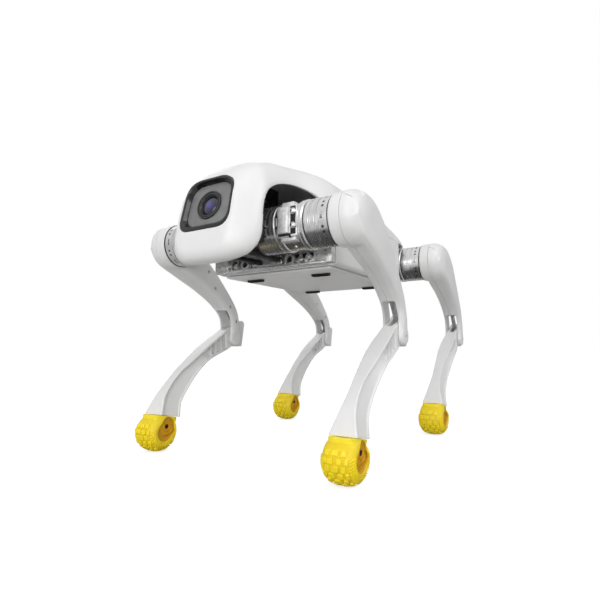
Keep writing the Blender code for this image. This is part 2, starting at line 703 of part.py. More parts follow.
def make_shank():
    """The lower leg: an I-beam with a tongue and lever at the knee and a peg in the foot."""
    shank = loft("shank", [shank_ring(i) for i in range(len(SHANK_STATIONS))], WHITE)
    half = SLOT_HALF - 0.0006
    outline = [(KNEE.y + y, KNEE.z + z) for y, z in TONGUE_OUTLINE]
    tongue = prism("shank_tongue", outline, LEG_PLANE_X - half, LEG_PLANE_X + half)
    peg = rod("shank_peg", FOOT + Vector((0, 0.005, 0.0045)), FOOT + Vector((0, 0.009, 0.0225)), 0.0060)
    join(shank, tongue, peg)
    pin = rod("knee_hole", (0.1, KNEE.y, KNEE.z), (0.14, KNEE.y, KNEE.z), 0.0043, steps=18)
    gap = 0.0033
    slot = block(
        "lever_slot",
        (LEG_PLANE_X - gap, KNEE.y + 0.0040, KNEE.z + 0.0048),
        (LEG_PLANE_X + gap, KNEE.y + 0.0165, KNEE.z + 0.0400),
    )
    clear = block(
        "lever_front",
        (LEG_PLANE_X - gap, KNEE.y - 0.0160, KNEE.z + 0.0100),
        (LEG_PLANE_X + gap, KNEE.y + 0.0165, KNEE.z + 0.0400),
    )
    cut(shank, pin, slot, clear)
    lever_at = KNEE + LEVER
    join(
        shank,
        rod(
            "lever_pin",
            (LEG_PLANE_X - 0.0060, lever_at.y, lever_at.z),
            (LEG_PLANE_X + 0.0060, lever_at.y, lever_at.z),
            0.0022,
        ),
    )
    return shank


def make_foot():
    """Rubber foot: a fat crowned wheel shape, flat on top where the shank ends in it."""
    r, w = FOOT_RADIUS, FOOT_HALF_WIDTH
    side = (
        (0, w - 0.0042), (0.0100, w - 0.0042), (0.0112, w - 0.0004), (0.0165, w - 0.0004),
        (0.0203, w - 0.0038), (r, 0.0),
    )
    profile = [*side, *[(radius, -height) for radius, height in reversed(side[:-1])]]
    foot = turned("foot", profile, "X", FOOT, YELLOW)
    collar = block(
        "foot_collar",
        (LEG_PLANE_X - w + 0.0006, FOOT.y - 0.0208, FOOT.z + 0.002),
        (LEG_PLANE_X + w - 0.0006, FOOT.y + 0.0208, FOOT.z + 0.021),
    )
    join(foot, collar)
    slope = prism(
        "foot_top",
        [
            (FOOT.y - 0.04, FOOT.z + 0.0197), (FOOT.y - 0.006, FOOT.z + 0.0192),
            (FOOT.y + 0.04, FOOT.z + 0.0150), (FOOT.y + 0.04, FOOT.z + 0.05),
            (FOOT.y - 0.04, FOOT.z + 0.05),
        ],
        0.05,
        0.2,
    )
    peg = rod("peg_hole", FOOT + Vector((0, 0.0050, 0.0042)), FOOT + Vector((0, 0.0100, 0.0270)), 0.0063)
    cut(foot, slope, peg)
    return foot


# ---- Four legs and the whole robot ----------------------------------------------------------
ROLL_PIECES = ("hip_bracket", "hip_motor", "knee_motor")
THIGH_PIECES = ("thigh_inner", "thigh_outer", "knee_pin")


def pivots():
    """Joint points of the front left leg, by the name of the empty that carries them."""
    return {
        "roll_axis": Vector((ROLL_AXIS_X, HIP.y, HIP.z)),
        "hip_axis": HIP,
        "crank_axis": HIP,
        "rod_axis": HIP + LEVER,
        "knee_axis": KNEE,
    }


def pivot_of(name):
    if name in ROLL_PIECES:
        return "roll_axis"
    if name in THIGH_PIECES:
        return "hip_axis"
    return {"knee_crank": "crank_axis", "push_rod": "rod_axis"}.get(name, "knee_axis")


def flipped(mesh, flip_x, flip_y):
    copy = mesh.copy()
    copy.transform(Matrix.Diagonal((-1 if flip_x else 1, -1 if flip_y else 1, 1, 1)))
    if flip_x != flip_y:
        copy.flip_normals()
    return copy


def empty(name, place, parent=None):
    made = bpy.data.objects.new(name, None)
    PARTS.objects.link(made)
    made.location = place
    if parent:
        made.parent = parent
        made.location = place - parent.matrix_world.translation
    bpy.context.view_layer.update()
    return made


LEGS = (("fl", False, False), ("fr", True, False), ("rl", False, True), ("rr", True, True))
AXIS_PARENTS = {
    "roll_axis": None,
    "hip_axis": "roll_axis",
    "crank_axis": "hip_axis",
    "rod_axis": "crank_axis",
    "knee_axis": "hip_axis",
}


def leg_point(point, right, rear):
    moved = point.copy()
    moved.x *= -1 if right else 1
    moved.y += LEG_SPACING_Y if rear else 0
    return moved


def build_legs(root):
    pieces = [make_bracket(), make_hip_motor(), make_knee_motor()]
    pieces += [*make_thigh_halves(), make_crank(), make_push_rod(), make_knee_pin()]
    pieces += [make_shank(), make_foot()]
    points = pivots()
    for piece in pieces:
        piece.data.transform(Matrix.Translation(-points[pivot_of(piece.name)]))
    for leg, right, rear in LEGS:
        axes = {}
        for name, parent in AXIS_PARENTS.items():
            place = leg_point(points[name], right, rear) + root.location
            axes[name] = empty(f"{name}_{leg}", place, axes[parent] if parent else root)
        for piece in pieces:
            turn_round = rear and piece.name == "hip_bracket"
            mesh = flipped(piece.data, right, turn_round)
            made = bpy.data.objects.new(f"{piece.name}_{leg}", mesh)
            PARTS.objects.link(made)
            made.parent = axes[pivot_of(piece.name)]
    for piece in pieces:
        bpy.data.objects.remove(piece)


def build_body(root):
    body = [make_canopy(), make_liner(), *make_tray(), make_chassis(), *make_inside()]
    body += [*make_camera(), *make_roll_motors(), make_button()]
    for piece in body:
        piece.parent = root


def build():
    root = empty("robot", Vector((0, ORIGIN_SHIFT_Y, 0)))
    build_body(root)
    build_legs(root)


build()
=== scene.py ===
"""Looks of the four-legged walking robot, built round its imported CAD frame.

Metres throughout. Pieces are drawn in the design frame, where the front hip axis is at
y = -0.1163 and a leg is always the front left one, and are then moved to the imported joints.
"""

import json
from math import atan, ceil, cos, pi, radians, sin

import bmesh
import bpy
import numpy as np
from mathutils import Matrix, Vector

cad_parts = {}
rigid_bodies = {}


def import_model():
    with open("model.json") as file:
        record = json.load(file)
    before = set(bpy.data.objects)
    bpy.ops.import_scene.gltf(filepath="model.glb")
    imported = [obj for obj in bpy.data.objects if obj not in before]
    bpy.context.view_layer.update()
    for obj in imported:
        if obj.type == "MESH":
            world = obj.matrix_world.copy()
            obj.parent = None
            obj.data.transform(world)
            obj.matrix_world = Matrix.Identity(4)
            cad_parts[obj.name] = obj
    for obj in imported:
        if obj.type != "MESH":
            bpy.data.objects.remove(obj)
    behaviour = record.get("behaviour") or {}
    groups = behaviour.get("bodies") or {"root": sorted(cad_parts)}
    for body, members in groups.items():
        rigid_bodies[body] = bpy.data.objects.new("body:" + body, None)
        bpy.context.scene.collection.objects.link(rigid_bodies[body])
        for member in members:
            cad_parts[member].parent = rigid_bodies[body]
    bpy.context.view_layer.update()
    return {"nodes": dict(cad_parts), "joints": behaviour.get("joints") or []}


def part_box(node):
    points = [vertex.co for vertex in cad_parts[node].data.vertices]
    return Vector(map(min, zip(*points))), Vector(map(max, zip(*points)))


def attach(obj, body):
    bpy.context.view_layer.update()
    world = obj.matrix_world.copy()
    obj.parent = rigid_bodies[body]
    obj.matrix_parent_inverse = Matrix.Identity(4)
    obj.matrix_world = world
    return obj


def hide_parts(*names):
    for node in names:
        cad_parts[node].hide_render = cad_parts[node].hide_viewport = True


for old in list(bpy.data.objects):
    bpy.data.objects.remove(old)

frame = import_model()

# ---- Places, taken from the frame ----
JOINTS = {joint["name"]: joint for joint in frame["joints"]}
DESIGN_HIP_Y = -0.1163
HIP_AT = Vector(JOINTS["pitch_fl"]["pos_m"])
SHIFT = Vector((0, HIP_AT.y - DESIGN_HIP_Y, 0))
REAR = Vector((0, JOINTS["pitch_rl"]["pos_m"][1] - HIP_AT.y, 0))
HIP = HIP_AT - SHIFT
HIP_CENTRE = (0, HIP.y, HIP.z)
KNEE = Vector(JOINTS["knee_fl"]["pos_m"]) - SHIFT
FOOT_RADIUS = 0.022
FOOT_LOW, FOOT_HIGH = (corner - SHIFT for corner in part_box("foot_fl"))
FOOT = Vector((HIP.x, FOOT_LOW.y + FOOT_RADIUS, FOOT_LOW.z + FOOT_RADIUS))
FOOT_HALF_WIDTH = (FOOT_HIGH.x - FOOT_LOW.x) / 2
ROLL_X = JOINTS["roll_fl"]["pos_m"][0]
LEG_X = HIP.x
ARM_WAY = Vector((0, KNEE.y - HIP.y, HIP.z - KNEE.z)).normalized()
ARM_WAY = Vector((0, ARM_WAY.z, ARM_WAY.y))
LEVER = ARM_WAY * 0.014
LEGS = (("fl", False, False), ("fr", True, False), ("rl", False, True), ("rr", True, True))

SEAM_Z = 0.2665
WALL = 0.0025
TRAY_FRONT, TRAY_REAR = -0.074, 0.118
TRAY_BOTTOM = 0.2052
BODY_HALF = 0.082
MOTOR_RADIUS = 0.0246
SLOT_HALF = 0.0081
TREAD_CORE = 0.02       # radius under the foot's lugs, in the middle of the tread
TREAD_HUB = 0.0105      # radius where the tread's section is centred
TREAD_POWER = 2.5       # how square the tread's section is
SIDEWAYS = Vector((1, 0, 0))
NOISE_RANGE = (0.35, 0.65)      # nearly all of a noise's values lie between these


# ---- Materials ----
def feed(tree, node, **inputs):
    """Sets a node's inputs to values or links them to outputs; an underscore stands for a space."""
    for name, value in inputs.items():
        socket = node.inputs[name.replace("_", " ")]
        if isinstance(value, bpy.types.NodeSocket):
            tree.links.new(value, socket)
        else:
            socket.default_value = value


def add_node(tree, kind, **inputs):
    node = tree.nodes.new("ShaderNode" + kind)
    feed(tree, node, **inputs)
    return node


def map_range(tree, value, from_range, to_range):
    low, high = from_range
    start, end = to_range
    node = add_node(tree, "MapRange", Value=value, From_Min=low, From_Max=high, To_Min=start, To_Max=end)
    return node.outputs["Result"]


class Look:
    """A Principled material whose colour, roughness and bump come from noise in its object's space."""

    def __init__(self, name, colour, roughness, metallic=0.0, **values):
        self.material = bpy.data.materials.new(name)
        self.material.use_nodes = True
        self.tree = self.material.node_tree
        self.shader = self.tree.nodes["Principled BSDF"]
        self.feed(Base_Color=(*colour, 1), Roughness=roughness, Metallic=metallic, **values)
        self.place = self.node("TexCoord").outputs["Object"]
        self.normal = None

    def feed(self, **inputs):
        feed(self.tree, self.shader, **inputs)

    def node(self, kind, **inputs):
        return add_node(self.tree, kind, **inputs)

    def math(self, operation, first, second=0):
        node = self.node("Math")
        node.operation = operation
        for socket, value in zip(node.inputs, (first, second)):
            if isinstance(value, bpy.types.NodeSocket):
                self.tree.links.new(value, socket)
            else:
                socket.default_value = value
        return node.outputs[0]

    def between(self, operation, place, point):
        """A vector operation on a place and a fixed point."""
        node = self.node("VectorMath")
        node.operation = operation
        node.inputs[1].default_value = point
        self.tree.links.new(place, node.inputs[0])
        return node.outputs

    def reach(self, y, z):
        """Distance from the X axis."""
        return self.math("SQRT", self.math("ADD", self.math("MULTIPLY", y, y), self.math("MULTIPLY", z, z)))

    def noise(self, scale, detail=3.0, place=None):
        place = place or self.place
        return self.node("TexNoise", Vector=place, Scale=scale, Detail=detail, Roughness=0.5).outputs["Fac"]

    def ramp(self, fac, stops):
        node = self.node("ValToRGB", Fac=fac)
        elements = node.color_ramp.elements
        while len(elements) < len(stops):
            elements.new(0.5)
        for element, (position, colour) in zip(elements, stops):
            element.position = position
            element.color = (*colour, 1)
        return node.outputs["Color"]

    def vary_colour(self, low, high, scale, detail=3.0):
        self.feed(Base_Color=self.ramp(self.noise(scale, detail), tuple(zip(NOISE_RANGE, (low, high)))))

    def vary_roughness(self, low, high, scale, place=None):
        noise = self.noise(scale, place=place)
        self.feed(Roughness=map_range(self.tree, noise, NOISE_RANGE, (low, high)))

    def bump(self, height, distance, strength):
        node = self.node("Bump", Distance=distance, Strength=strength, Height=height)
        if self.normal is not None:
            feed(self.tree, node, Normal=self.normal)
        self.normal = node.outputs["Normal"]
        self.feed(Normal=self.normal)

    def ring_place(self, density):
        """Coordinates that change along X and with the distance from the X axis only."""
        x, y, z = self.node("SeparateXYZ", Vector=self.place).outputs
        along, across = self.math("MULTIPLY", x, density), self.math("MULTIPLY", self.reach(y, z), density)
        return self.node("CombineXYZ", X=along, Y=across).outputs[0]


def white_look(name, shade=1.0):
    """Satin moulded shell: a slight orange peel and faint flow marks."""
    look = Look(name, (0.8, 0.8, 0.8), 0.3, Coat_Weight=0.2, Coat_Roughness=0.12)
    tones = ((0.815, 0.815, 0.815), (0.85, 0.85, 0.848))
    low, high = (tuple(value * shade for value in tone) for tone in tones)
    look.vary_colour(low, high, 18)
    look.vary_roughness(0.3, 0.35, 60)
    look.bump(look.noise(700, 2), 0.00006, 0.5)
    look.bump(look.noise(4000, 2), 0.00001, 0.4)
    return look.material


def turned_look(name, tone, rough):
    """Turned aluminium: fine rings round the X axis, with a few deeper tool marks."""
    light = (tone, tone, tone * 1.01)
    look = Look(name, light, rough, 0.95, Anisotropic=0.3)
    look.vary_colour(tuple(tone * share for share in (0.93, 0.93, 0.94)), light, 90)
    rings = look.ring_place(2600)
    look.vary_roughness(rough - 0.03, rough + 0.04, 0.4, place=rings)
    look.bump(look.noise(1.0, 2, place=rings), 0.000004, 0.3)
    return look.material


def cast_look(name, tone, rough, grain=1500, metallic=1.0):
    """Cast or bead-blasted metal: an even grain with small pits and mottled tone."""
    look = Look(name, (tone, tone, tone), rough, metallic)
    look.vary_colour((tone * 0.78,) * 3, (tone * 1.05,) * 3, 260, 5)
    look.vary_roughness(rough - 0.1, rough + 0.14, 120)
    look.bump(look.noise(grain, 4), 0.00012, 0.7)
    look.bump(look.noise(170, 3), 0.0003, 0.3)
    return look.material


def plastic_look(name, dark, light, rough, grain=2200, **values):
    """Moulded plastic with a fine spark-eroded grain."""
    look = Look(name, light, rough, **values)
    look.vary_colour(dark, light, 90, 4)
    look.vary_roughness(rough - 0.07, rough + 0.09, 140)
    look.bump(look.noise(grain, 3), 0.00005, 0.6)
    return look.material


def rubber_look(name, dark, light):
    """Soft rubber: mould grain, slight bloom and uneven dye."""
    look = Look(name, light, 0.5, Subsurface_Weight=0.05, Subsurface_Scale=0.003)
    look.vary_colour(dark, light, 120, 4)
    look.vary_roughness(0.4, 0.6, 200)
    look.bump(look.noise(1100, 4), 0.00012, 0.5)
    return look.material


def tread_look(name, groove, light):
    """Tyre rubber with painted shade: deeper in colour toward the smooth core's section and below it,
    between the lugs and in the side pockets.
    """
    look = Look(name, light, 0.5, Subsurface_Weight=0.05, Subsurface_Scale=0.003)
    moved = look.between("SUBTRACT", look.place, FOOT - KNEE)[0]
    x, y, z = look.node("SeparateXYZ", Vector=moved).outputs
    outward = look.math("SUBTRACT", look.reach(y, z), TREAD_HUB)
    up = look.math("MULTIPLY", outward, 1 / (TREAD_CORE - TREAD_HUB))
    side = look.math("MULTIPLY", look.math("ABSOLUTE", x), 1 / FOOT_HALF_WIDTH)
    side = look.math("POWER", side, TREAD_POWER)
    total = look.math("ADD", side, look.math("POWER", look.math("MAXIMUM", up, 0), TREAD_POWER))
    level = look.math("POWER", total, 1 / TREAD_POWER)
    uneven = look.math("ADD", level, look.math("MULTIPLY", look.noise(260, 4), 0.05))
    # Painted shade: the colour deepens to orange toward the base of the lugs and below it, in the side
    # pockets.
    middle = tuple(a * 0.4 + b * 0.6 for a, b in zip(groove, light))
    stops = ((0.4, groove), (0.5, middle), (0.575, light))
    look.feed(Base_Color=look.ramp(look.math("SUBTRACT", uneven, 0.5), stops))
    look.vary_roughness(0.4, 0.6, 200)
    look.bump(look.noise(1100, 4), 0.00012, 0.5)
    return look.material


def lens_look(name):
    """Coated glass over a dark iris: violet rings that deepen to black, and a painted highlight, an
    off-centre whitish glint in the colour.
    """
    look = Look(name, (0.02, 0.01, 0.08), 0.04, Coat_Weight=1.0, Coat_Roughness=0.01)
    stops = (
        (0.0, (0.006, 0.005, 0.02)), (0.24, (0.012, 0.01, 0.06)), (0.42, (0.06, 0.045, 0.27)),
        (0.55, (0.02, 0.016, 0.11)), (0.75, (0.012, 0.01, 0.05)), (1.0, (0.006, 0.006, 0.01)),
    )
    length = look.between("LENGTH", look.place, (0, 0, 0))["Value"]
    rings = look.ramp(look.math("MULTIPLY", length, 1 / 0.0103), stops)
    # Painted highlight: a whitish glint mixed into the base colour round a point off the lens's centre.
    distance = look.between("DISTANCE", look.place, (0.0008, -0.0015, -0.0034))["Value"]
    mixed = look.node("Mix")
    mixed.data_type = "RGBA"
    painted_glint = map_range(look.tree, distance, (0.0034, 0.0009), (0, 1))
    feed(look.tree, mixed, Factor=painted_glint, A=rings, B=(0.85, 0.83, 1.0, 1))
    look.feed(Base_Color=mixed.outputs["Result"])
    look.bump(look.noise(60, 1), 0.00002, 0.2)
    return look.material


WHITE = white_look("shell_white")
WHITE_LEG = white_look("leg_white", 0.985)
TURNED = turned_look("turned_aluminium", 0.9, 0.28)
TURNED_DARK = turned_look("turned_dark", 0.72, 0.36)
CAST = cast_look("cast_aluminium", 0.86, 0.32, metallic=0.7)
CAST_BRIGHT = cast_look("cast_bright", 0.84, 0.4, metallic=0.45)
CHROME = cast_look("bolt_steel", 0.86, 0.2, 3000)
STEEL = cast_look("rod_steel", 0.58, 0.34, 2600)
BLACK = plastic_look("inner_black", (0.01, 0.01, 0.011), (0.022, 0.022, 0.024), 0.42)
LINER = plastic_look("liner_grey", (0.075, 0.075, 0.077), (0.105, 0.105, 0.107), 0.5)
BEZEL = plastic_look("bezel_black", (0.006, 0.006, 0.007), (0.012, 0.012, 0.013), 0.13, 500, Coat_Weight=0.5)
PANEL = plastic_look("panel_grey", (0.19, 0.19, 0.192), (0.225, 0.225, 0.227), 0.4)
BARREL = plastic_look("barrel_black", (0.03, 0.03, 0.032), (0.045, 0.045, 0.047), 0.33)
GREY = plastic_look("button_grey", (0.2, 0.2, 0.21), (0.27, 0.27, 0.28), 0.4)
BOARD = plastic_look("solder_mask", (0.008, 0.07, 0.03), (0.015, 0.13, 0.055), 0.35, 900)
YELLOW = tread_look("yellow_rubber", (0.62, 0.32, 0.0), (1.0, 0.81, 0.018))
AMBER = rubber_look("amber_rubber", (0.58, 0.27, 0.0), (0.76, 0.4, 0.0))
LENS = lens_look("lens_coating")
# This near-black material is mostly painted shade, filling slots, vents, screw holes, ports, gaps and the
# hub hole where shade falls; it also colours the hip seal.
DARK = plastic_look("black_and_painted_shade", (0.004, 0.004, 0.004), (0.008, 0.008, 0.008), 0.6)


# ---- Mesh helpers ----
def add(name, bm, sharp=35):
    """A mesh object from bm, shaded smooth but for its sharp edges."""
    bmesh.ops.recalc_face_normals(bm, faces=bm.faces)
    mesh = bpy.data.meshes.new(name)
    bm.to_mesh(mesh)
    bm.free()
    return shade(link(name, mesh), sharp)


def link(name, data):
    made = bpy.data.objects.new(name, data)
    bpy.context.scene.collection.objects.link(made)
    return made


def shade(made, sharp=35):
    made.data.shade_smooth()
    made.data.set_sharp_from_angle(angle=radians(sharp))
    return made


def bake(made, sharp=35):
    """Replaces an object's mesh by the result of its modifiers."""
    graph = bpy.context.evaluated_depsgraph_get()
    mesh = bpy.data.meshes.new_from_object(made.evaluated_get(graph))
    made.modifiers.clear()
    made.data = mesh
    return shade(made, sharp)


def cut(target, *others, sharp=35):
    for other in others:
        step = target.modifiers.new(other.name, "BOOLEAN")
        step.operation = "DIFFERENCE"
        step.solver = "MANIFOLD"
        step.object = other
        bake(target, sharp)
        bpy.data.objects.remove(other)
    return target


def soften(made, width, segments=2, angle=30):
    """Rounds the sharp edges of a clean mesh."""
    step = made.modifiers.new("Edges", "BEVEL")
    step.width = width
    step.segments = segments
    step.limit_method = "ANGLE"
    step.angle_limit = radians(angle)
    return bake(made)


def fuse(name, pieces, voxel, rounds):
    """Overlapping solids melted into one, with the creases between them rounded."""
    whole = group(name, pieces)
    remesh = whole.modifiers.new("Fuse", "REMESH")
    remesh.mode = "VOXEL"
    remesh.voxel_size = voxel
    smooth = whole.modifiers.new("Round", "SMOOTH")
    smooth.factor = 0.5
    smooth.iterations = rounds
    return bake(whole, 50)


def group(name, pieces):
    """Several objects as one, each still a body of its own."""
    bm = bmesh.new()
    for piece in pieces:
        piece.data.transform(piece.matrix_world)
        bm.from_mesh(piece.data)
    for piece in pieces:
        bpy.data.objects.remove(piece)
    mesh = bpy.data.meshes.new(name)
    bm.to_mesh(mesh)
    bm.free()
    return shade(link(name, mesh))


def loft(name, rings, sharp=35):
    bm = bmesh.new()
    rows = [[bm.verts.new(point) for point in ring] for ring in rings]
    count = len(rows[0])
    for here, there in zip(rows, rows[1:]):
        for i in range(count):
            j = (i + 1) % count
            bm.faces.new((here[i], here[j], there[j], there[i]))
    bm.faces.new(rows[0])
    bm.faces.new(rows[-1][::-1])
    return add(name, bm, sharp)


def slab(name, low, high, bevel=0.0, segments=2):
    low, high = Vector(low), Vector(high)
    bm = bmesh.new()
    bmesh.ops.create_cube(bm, size=1.0)
    bmesh.ops.scale(bm, vec=high - low, verts=bm.verts)
    bmesh.ops.translate(bm, vec=(low + high) / 2, verts=bm.verts)
    if bevel:
        bmesh.ops.bevel(bm, geom=bm.edges, offset=bevel, segments=segments, profile=0.5, affect="EDGES")
    return add(name, bm)


def pad(name, x, y, half_x, half_y, low, high, bevel=0.0):
    """A slab centred on x and y, between two heights."""
    return slab(name, (x - half_x, y - half_y, low), (x + half_x, y + half_y, high), bevel)


def side_slabs(rows):
    """Slabs given for the left side by their low and high corners and edge radius, on both sides."""
    made = []
    for side in (-1, 1):
        for low, high, bevel in rows:
            low_x, high_x = sorted((side * low[0], side * high[0]))
            made.append(slab("slab", (low_x, *low[1:]), (high_x, *high[1:]), bevel))
    return made


def rod(name, start, end, radius, steps=32, tip=None):
    start, end = Vector(start), Vector(end)
    run = end - start
    tip = radius if tip is None else tip
    bm = bmesh.new()
    bmesh.ops.create_cone(bm, cap_ends=True, segments=steps, radius1=radius, radius2=tip, depth=run.length)
    turn = run.to_track_quat("Z", "Y").to_matrix().to_4x4()
    bmesh.ops.transform(bm, matrix=Matrix.Translation((start + end) / 2) @ turn, verts=bm.verts)
    return add(name, bm)


def turned(name, profile, centre, turn=Matrix.Rotation(pi / 2, 4, "Y"), steps=96, sharp=28):
    """A closed outline of (radius, height) turned about an axis: X unless turn says otherwise."""
    bm = bmesh.new()
    rows = []
    for radius, height in profile:
        count = steps if radius > 0 else 1
        angles = [2 * pi * i / count for i in range(count)]
        rows.append([bm.verts.new((radius * cos(a), radius * sin(a), height)) for a in angles])
    pairs = list(zip(rows, rows[1:]))
    if profile[0][0] > 0:
        pairs.append((rows[-1], rows[0]))
    for here, there in pairs:
        for i in range(steps):
            j = (i + 1) % steps
            corners = [row[k % len(row)] for row, k in ((here, i), (here, j), (there, j), (there, i))]
            kept = list(dict.fromkeys(corners))
            if len(kept) > 2:
                bm.faces.new(kept)
    bmesh.ops.transform(bm, matrix=Matrix.Translation(centre) @ turn, verts=bm.verts)
    return add(name, bm, sharp)


def turned_hip(name, profile, steps=96):
    return turned(name, profile, HIP_CENTRE, steps=steps)


def flow(points, step):
    """A smooth curve through rows of numbers, with a new row about every step in their first two."""
    rows = [np.array(point, float) for point in points]
    rows = [2 * rows[0] - rows[1], *rows, 2 * rows[-1] - rows[-2]]
    curve = []
    for a, b, c, d in zip(rows, rows[1:], rows[2:], rows[3:]):
        count = max(2, ceil(np.linalg.norm(c[:2] - b[:2]) / step))
        for k in range(count):
            t = k / count
            square, cube = 2 * a - 5 * b + 4 * c - d, 3 * b - a - 3 * c + d
            curve.append((2 * b + (c - a) * t + square * t * t + cube * t ** 3) / 2)
    curve.append(rows[-2])
    return curve


def rounded(corners, radius, steps):
    """A closed 2D outline whose corners are short arcs; radius is one number or one for each corner."""
    radii = radius if isinstance(radius, tuple) else (radius,) * len(corners)
    outline = []
    for i, corner in enumerate(corners):
        corner = Vector(corner)
        back = Vector(corners[i - 1]) - corner
        ahead = Vector(corners[(i + 1) % len(corners)]) - corner
        reach = min(radii[i], back.length * 0.48, ahead.length * 0.48)
        start, end = corner + back.normalized() * reach, corner + ahead.normalized() * reach
        for k in range(steps + 1):
            t = k / steps
            outline.append(start * (1 - t) ** 2 + corner * 2 * t * (1 - t) + end * t * t)
    return outline


def prism(name, outline, x_low, x_high):
    """A (y, z) outline run along X."""
    return loft(name, [[(x, y, z) for y, z in outline] for x in (x_low, x_high)])


def socket_screw(at, out, radius, height):
    """A cap screw's head with its hexagon socket, standing out of a face at a point."""
    at, out = Vector(at), Vector(out).normalized()
    head = rod("screw_head", at - out * 0.0008, at + out * height, radius, 24)
    soften(head, radius * 0.12, 2)
    return cut(head, rod("socket", at + out * height * 0.3, at + out * (height + 0.002), radius * 0.52, 6))


def hex_bolt(at, out, radius, height):
    """A flanged hexagon bolt head."""
    at, out = Vector(at), Vector(out).normalized()
    flange = rod("bolt_flange", at - out * 0.0006, at + out * height * 0.3, radius * 1.18, 28)
    head = rod("bolt_head", at, at + out * height, radius, 6)
    soften(head, radius * 0.14, 2)
    return group("bolt", [flange, head])


def show(piece, material, body, slot, *nodes):
    """Gives a body piece, drawn in the design frame, its look, its body and the nodes it stands for."""
    piece.location = SHIFT
    dress(piece, material)
    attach(piece, body)
    if nodes:
        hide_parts(*nodes)


def dress(piece, material):
    piece.data.materials.clear()
    piece.data.materials.append(material)
    for polygon in piece.data.polygons:
        polygon.material_index = 0


def spread(piece, origin, material, body, node=None, turn_round=False):
    """Copies a front left leg piece to all four legs, with each copy's own space centred on origin.

    turn_round also mirrors the rear copies front to back, as the rear hips are."""
    base = piece.data
    base.transform(piece.matrix_world)
    base.transform(Matrix.Translation(-origin))
    for leg, right, rear in LEGS:
        mesh = base.copy()
        flip_y = rear and turn_round
        mesh.transform(Matrix.Diagonal((-1 if right else 1, -1 if flip_y else 1, 1, 1)))
        if right != flip_y:
            mesh.flip_normals()
        copy = link(f"{piece.name}_{leg}", mesh)
        copy.location = leg_point(origin, right, rear)
        dress(copy, material)
        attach(copy, f"{body}_{leg}")
        if node:
            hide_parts(f"{node}_{leg}")
    bpy.data.objects.remove(piece)


def leg_point(point, right, rear):
    moved = point + SHIFT + (REAR if rear else Vector())
    if right:
        moved.x = -moved.x
    return moved


# ---- Canopy ----
# Each station: y, half width, height of the widest line, crown above it, depth below it, and
# how square the section is.
CANOPY_STATIONS = (
    (-0.1847, 0.0335, 0.243, 0.029, 0.031, 3.4),
    (-0.1835, 0.0362, 0.243, 0.036, 0.037, 3.4),
    (-0.1795, 0.0408, 0.243, 0.044, 0.0425, 3.4),
    (-0.173, 0.0474, 0.243, 0.052, 0.0455, 3.4),
    (-0.164, 0.053, 0.243, 0.059, 0.046, 3.4),
    (-0.148, 0.0556, 0.243, 0.0645, 0.046, 3.3),
    (-0.128, 0.059, 0.243, 0.069, 0.046, 3.2),
    (-0.108, 0.0645, 0.244, 0.071, 0.046, 3.0),
    (-0.09, 0.073, 0.245, 0.072, 0.046, 2.9),
    (-0.074, 0.0795, 0.247, 0.0715, 0.046, 2.8),
    (-0.05, 0.0824, 0.25, 0.069, 0.046, 2.8),
    (0.03, 0.0826, 0.25, 0.066, 0.046, 2.8),
    (0.09, 0.0826, 0.25, 0.057, 0.046, 2.8),
    (0.13, 0.0812, 0.25, 0.049, 0.046, 2.8),
    (0.152, 0.0785, 0.25, 0.043, 0.046, 2.8),
    (0.164, 0.072, 0.25, 0.035, 0.04, 2.8),
    (0.169, 0.064, 0.25, 0.027, 0.03, 2.8),
)
ARCH = (
    (-0.177, 0.197), (-0.1698, 0.205), (-0.1655, 0.22), (-0.164, 0.24), (-0.162, 0.255),
    (-0.1558, 0.2675), (-0.1455, 0.2755), (-0.133, 0.2805), (-0.12, 0.2828), (-0.107, 0.2825),
    (-0.095, 0.279), (-0.085, 0.2725), (-0.077, 0.269), (-0.064, SEAM_Z),
)
ARCH_CURVE = np.array(flow(ARCH, 0.0015))
FACE_TILT = 0.23
FACE = Vector((0, -0.1847, 0.2557))
ROLL_IN = 0.0038        # radius of the arch's turned-in edge
COLUMNS = 220


def face_lean(y, z):
    fade = np.clip((-0.125 - y) / 0.045, 0, 1)
    return FACE_TILT * (z - FACE.z) * fade


def canopy_rows(inset, first, last, step):
    angle = np.linspace(0, 2 * pi, COLUMNS, endpoint=False)
    side, up = np.cos(angle), np.sin(angle)
    rows = []
    for y, half, level, crown, depth, power in flow(CANOPY_STATIONS, step):
        if not first <= y <= last:
            continue
        scale = (np.abs(side) ** power + np.abs(up) ** power) ** (-1 / power)
        x = side * scale * (half - inset)
        z = level + up * scale * (np.where(up > 0, crown, depth) - inset)
        rows.append(np.stack([x, y + face_lean(y, z), z], axis=1))
    return np.array(rows)


def turn_in(rows):
    """Draws the surface inwards near the arch's edge, so that the shell's rim is rounded."""
    gap = np.hypot(*(rows[:, :, None, 1:] - ARCH_CURVE).transpose(3, 0, 1, 2)).min(axis=2)
    low = np.interp(rows[:, :, 1], ARCH_CURVE[:, 0], ARCH_CURVE[:, 1], left=-1)
    gap = np.where(rows[:, :, 2] < low, 0, gap)
    fade = np.clip((-0.072 - rows[:, :, 1]) / 0.012, 0, 1)
    reach = np.clip(ROLL_IN - gap, 0, ROLL_IN)
    depth = (ROLL_IN - np.sqrt(ROLL_IN ** 2 - reach ** 2)) * fade * 0.55
    centre = np.array([0, 0, 0.245])
    way = rows - centre
    way[:, :, 1] = 0
    way /= np.linalg.norm(way, axis=2, keepdims=True)
    return rows - way * depth[:, :, None]


def canopy_form(name, inset, first=-1.0, last=1.0, step=0.0018):
    rows = turn_in(canopy_rows(inset, first, last, step))
    return loft(name, rows.tolist(), 50)


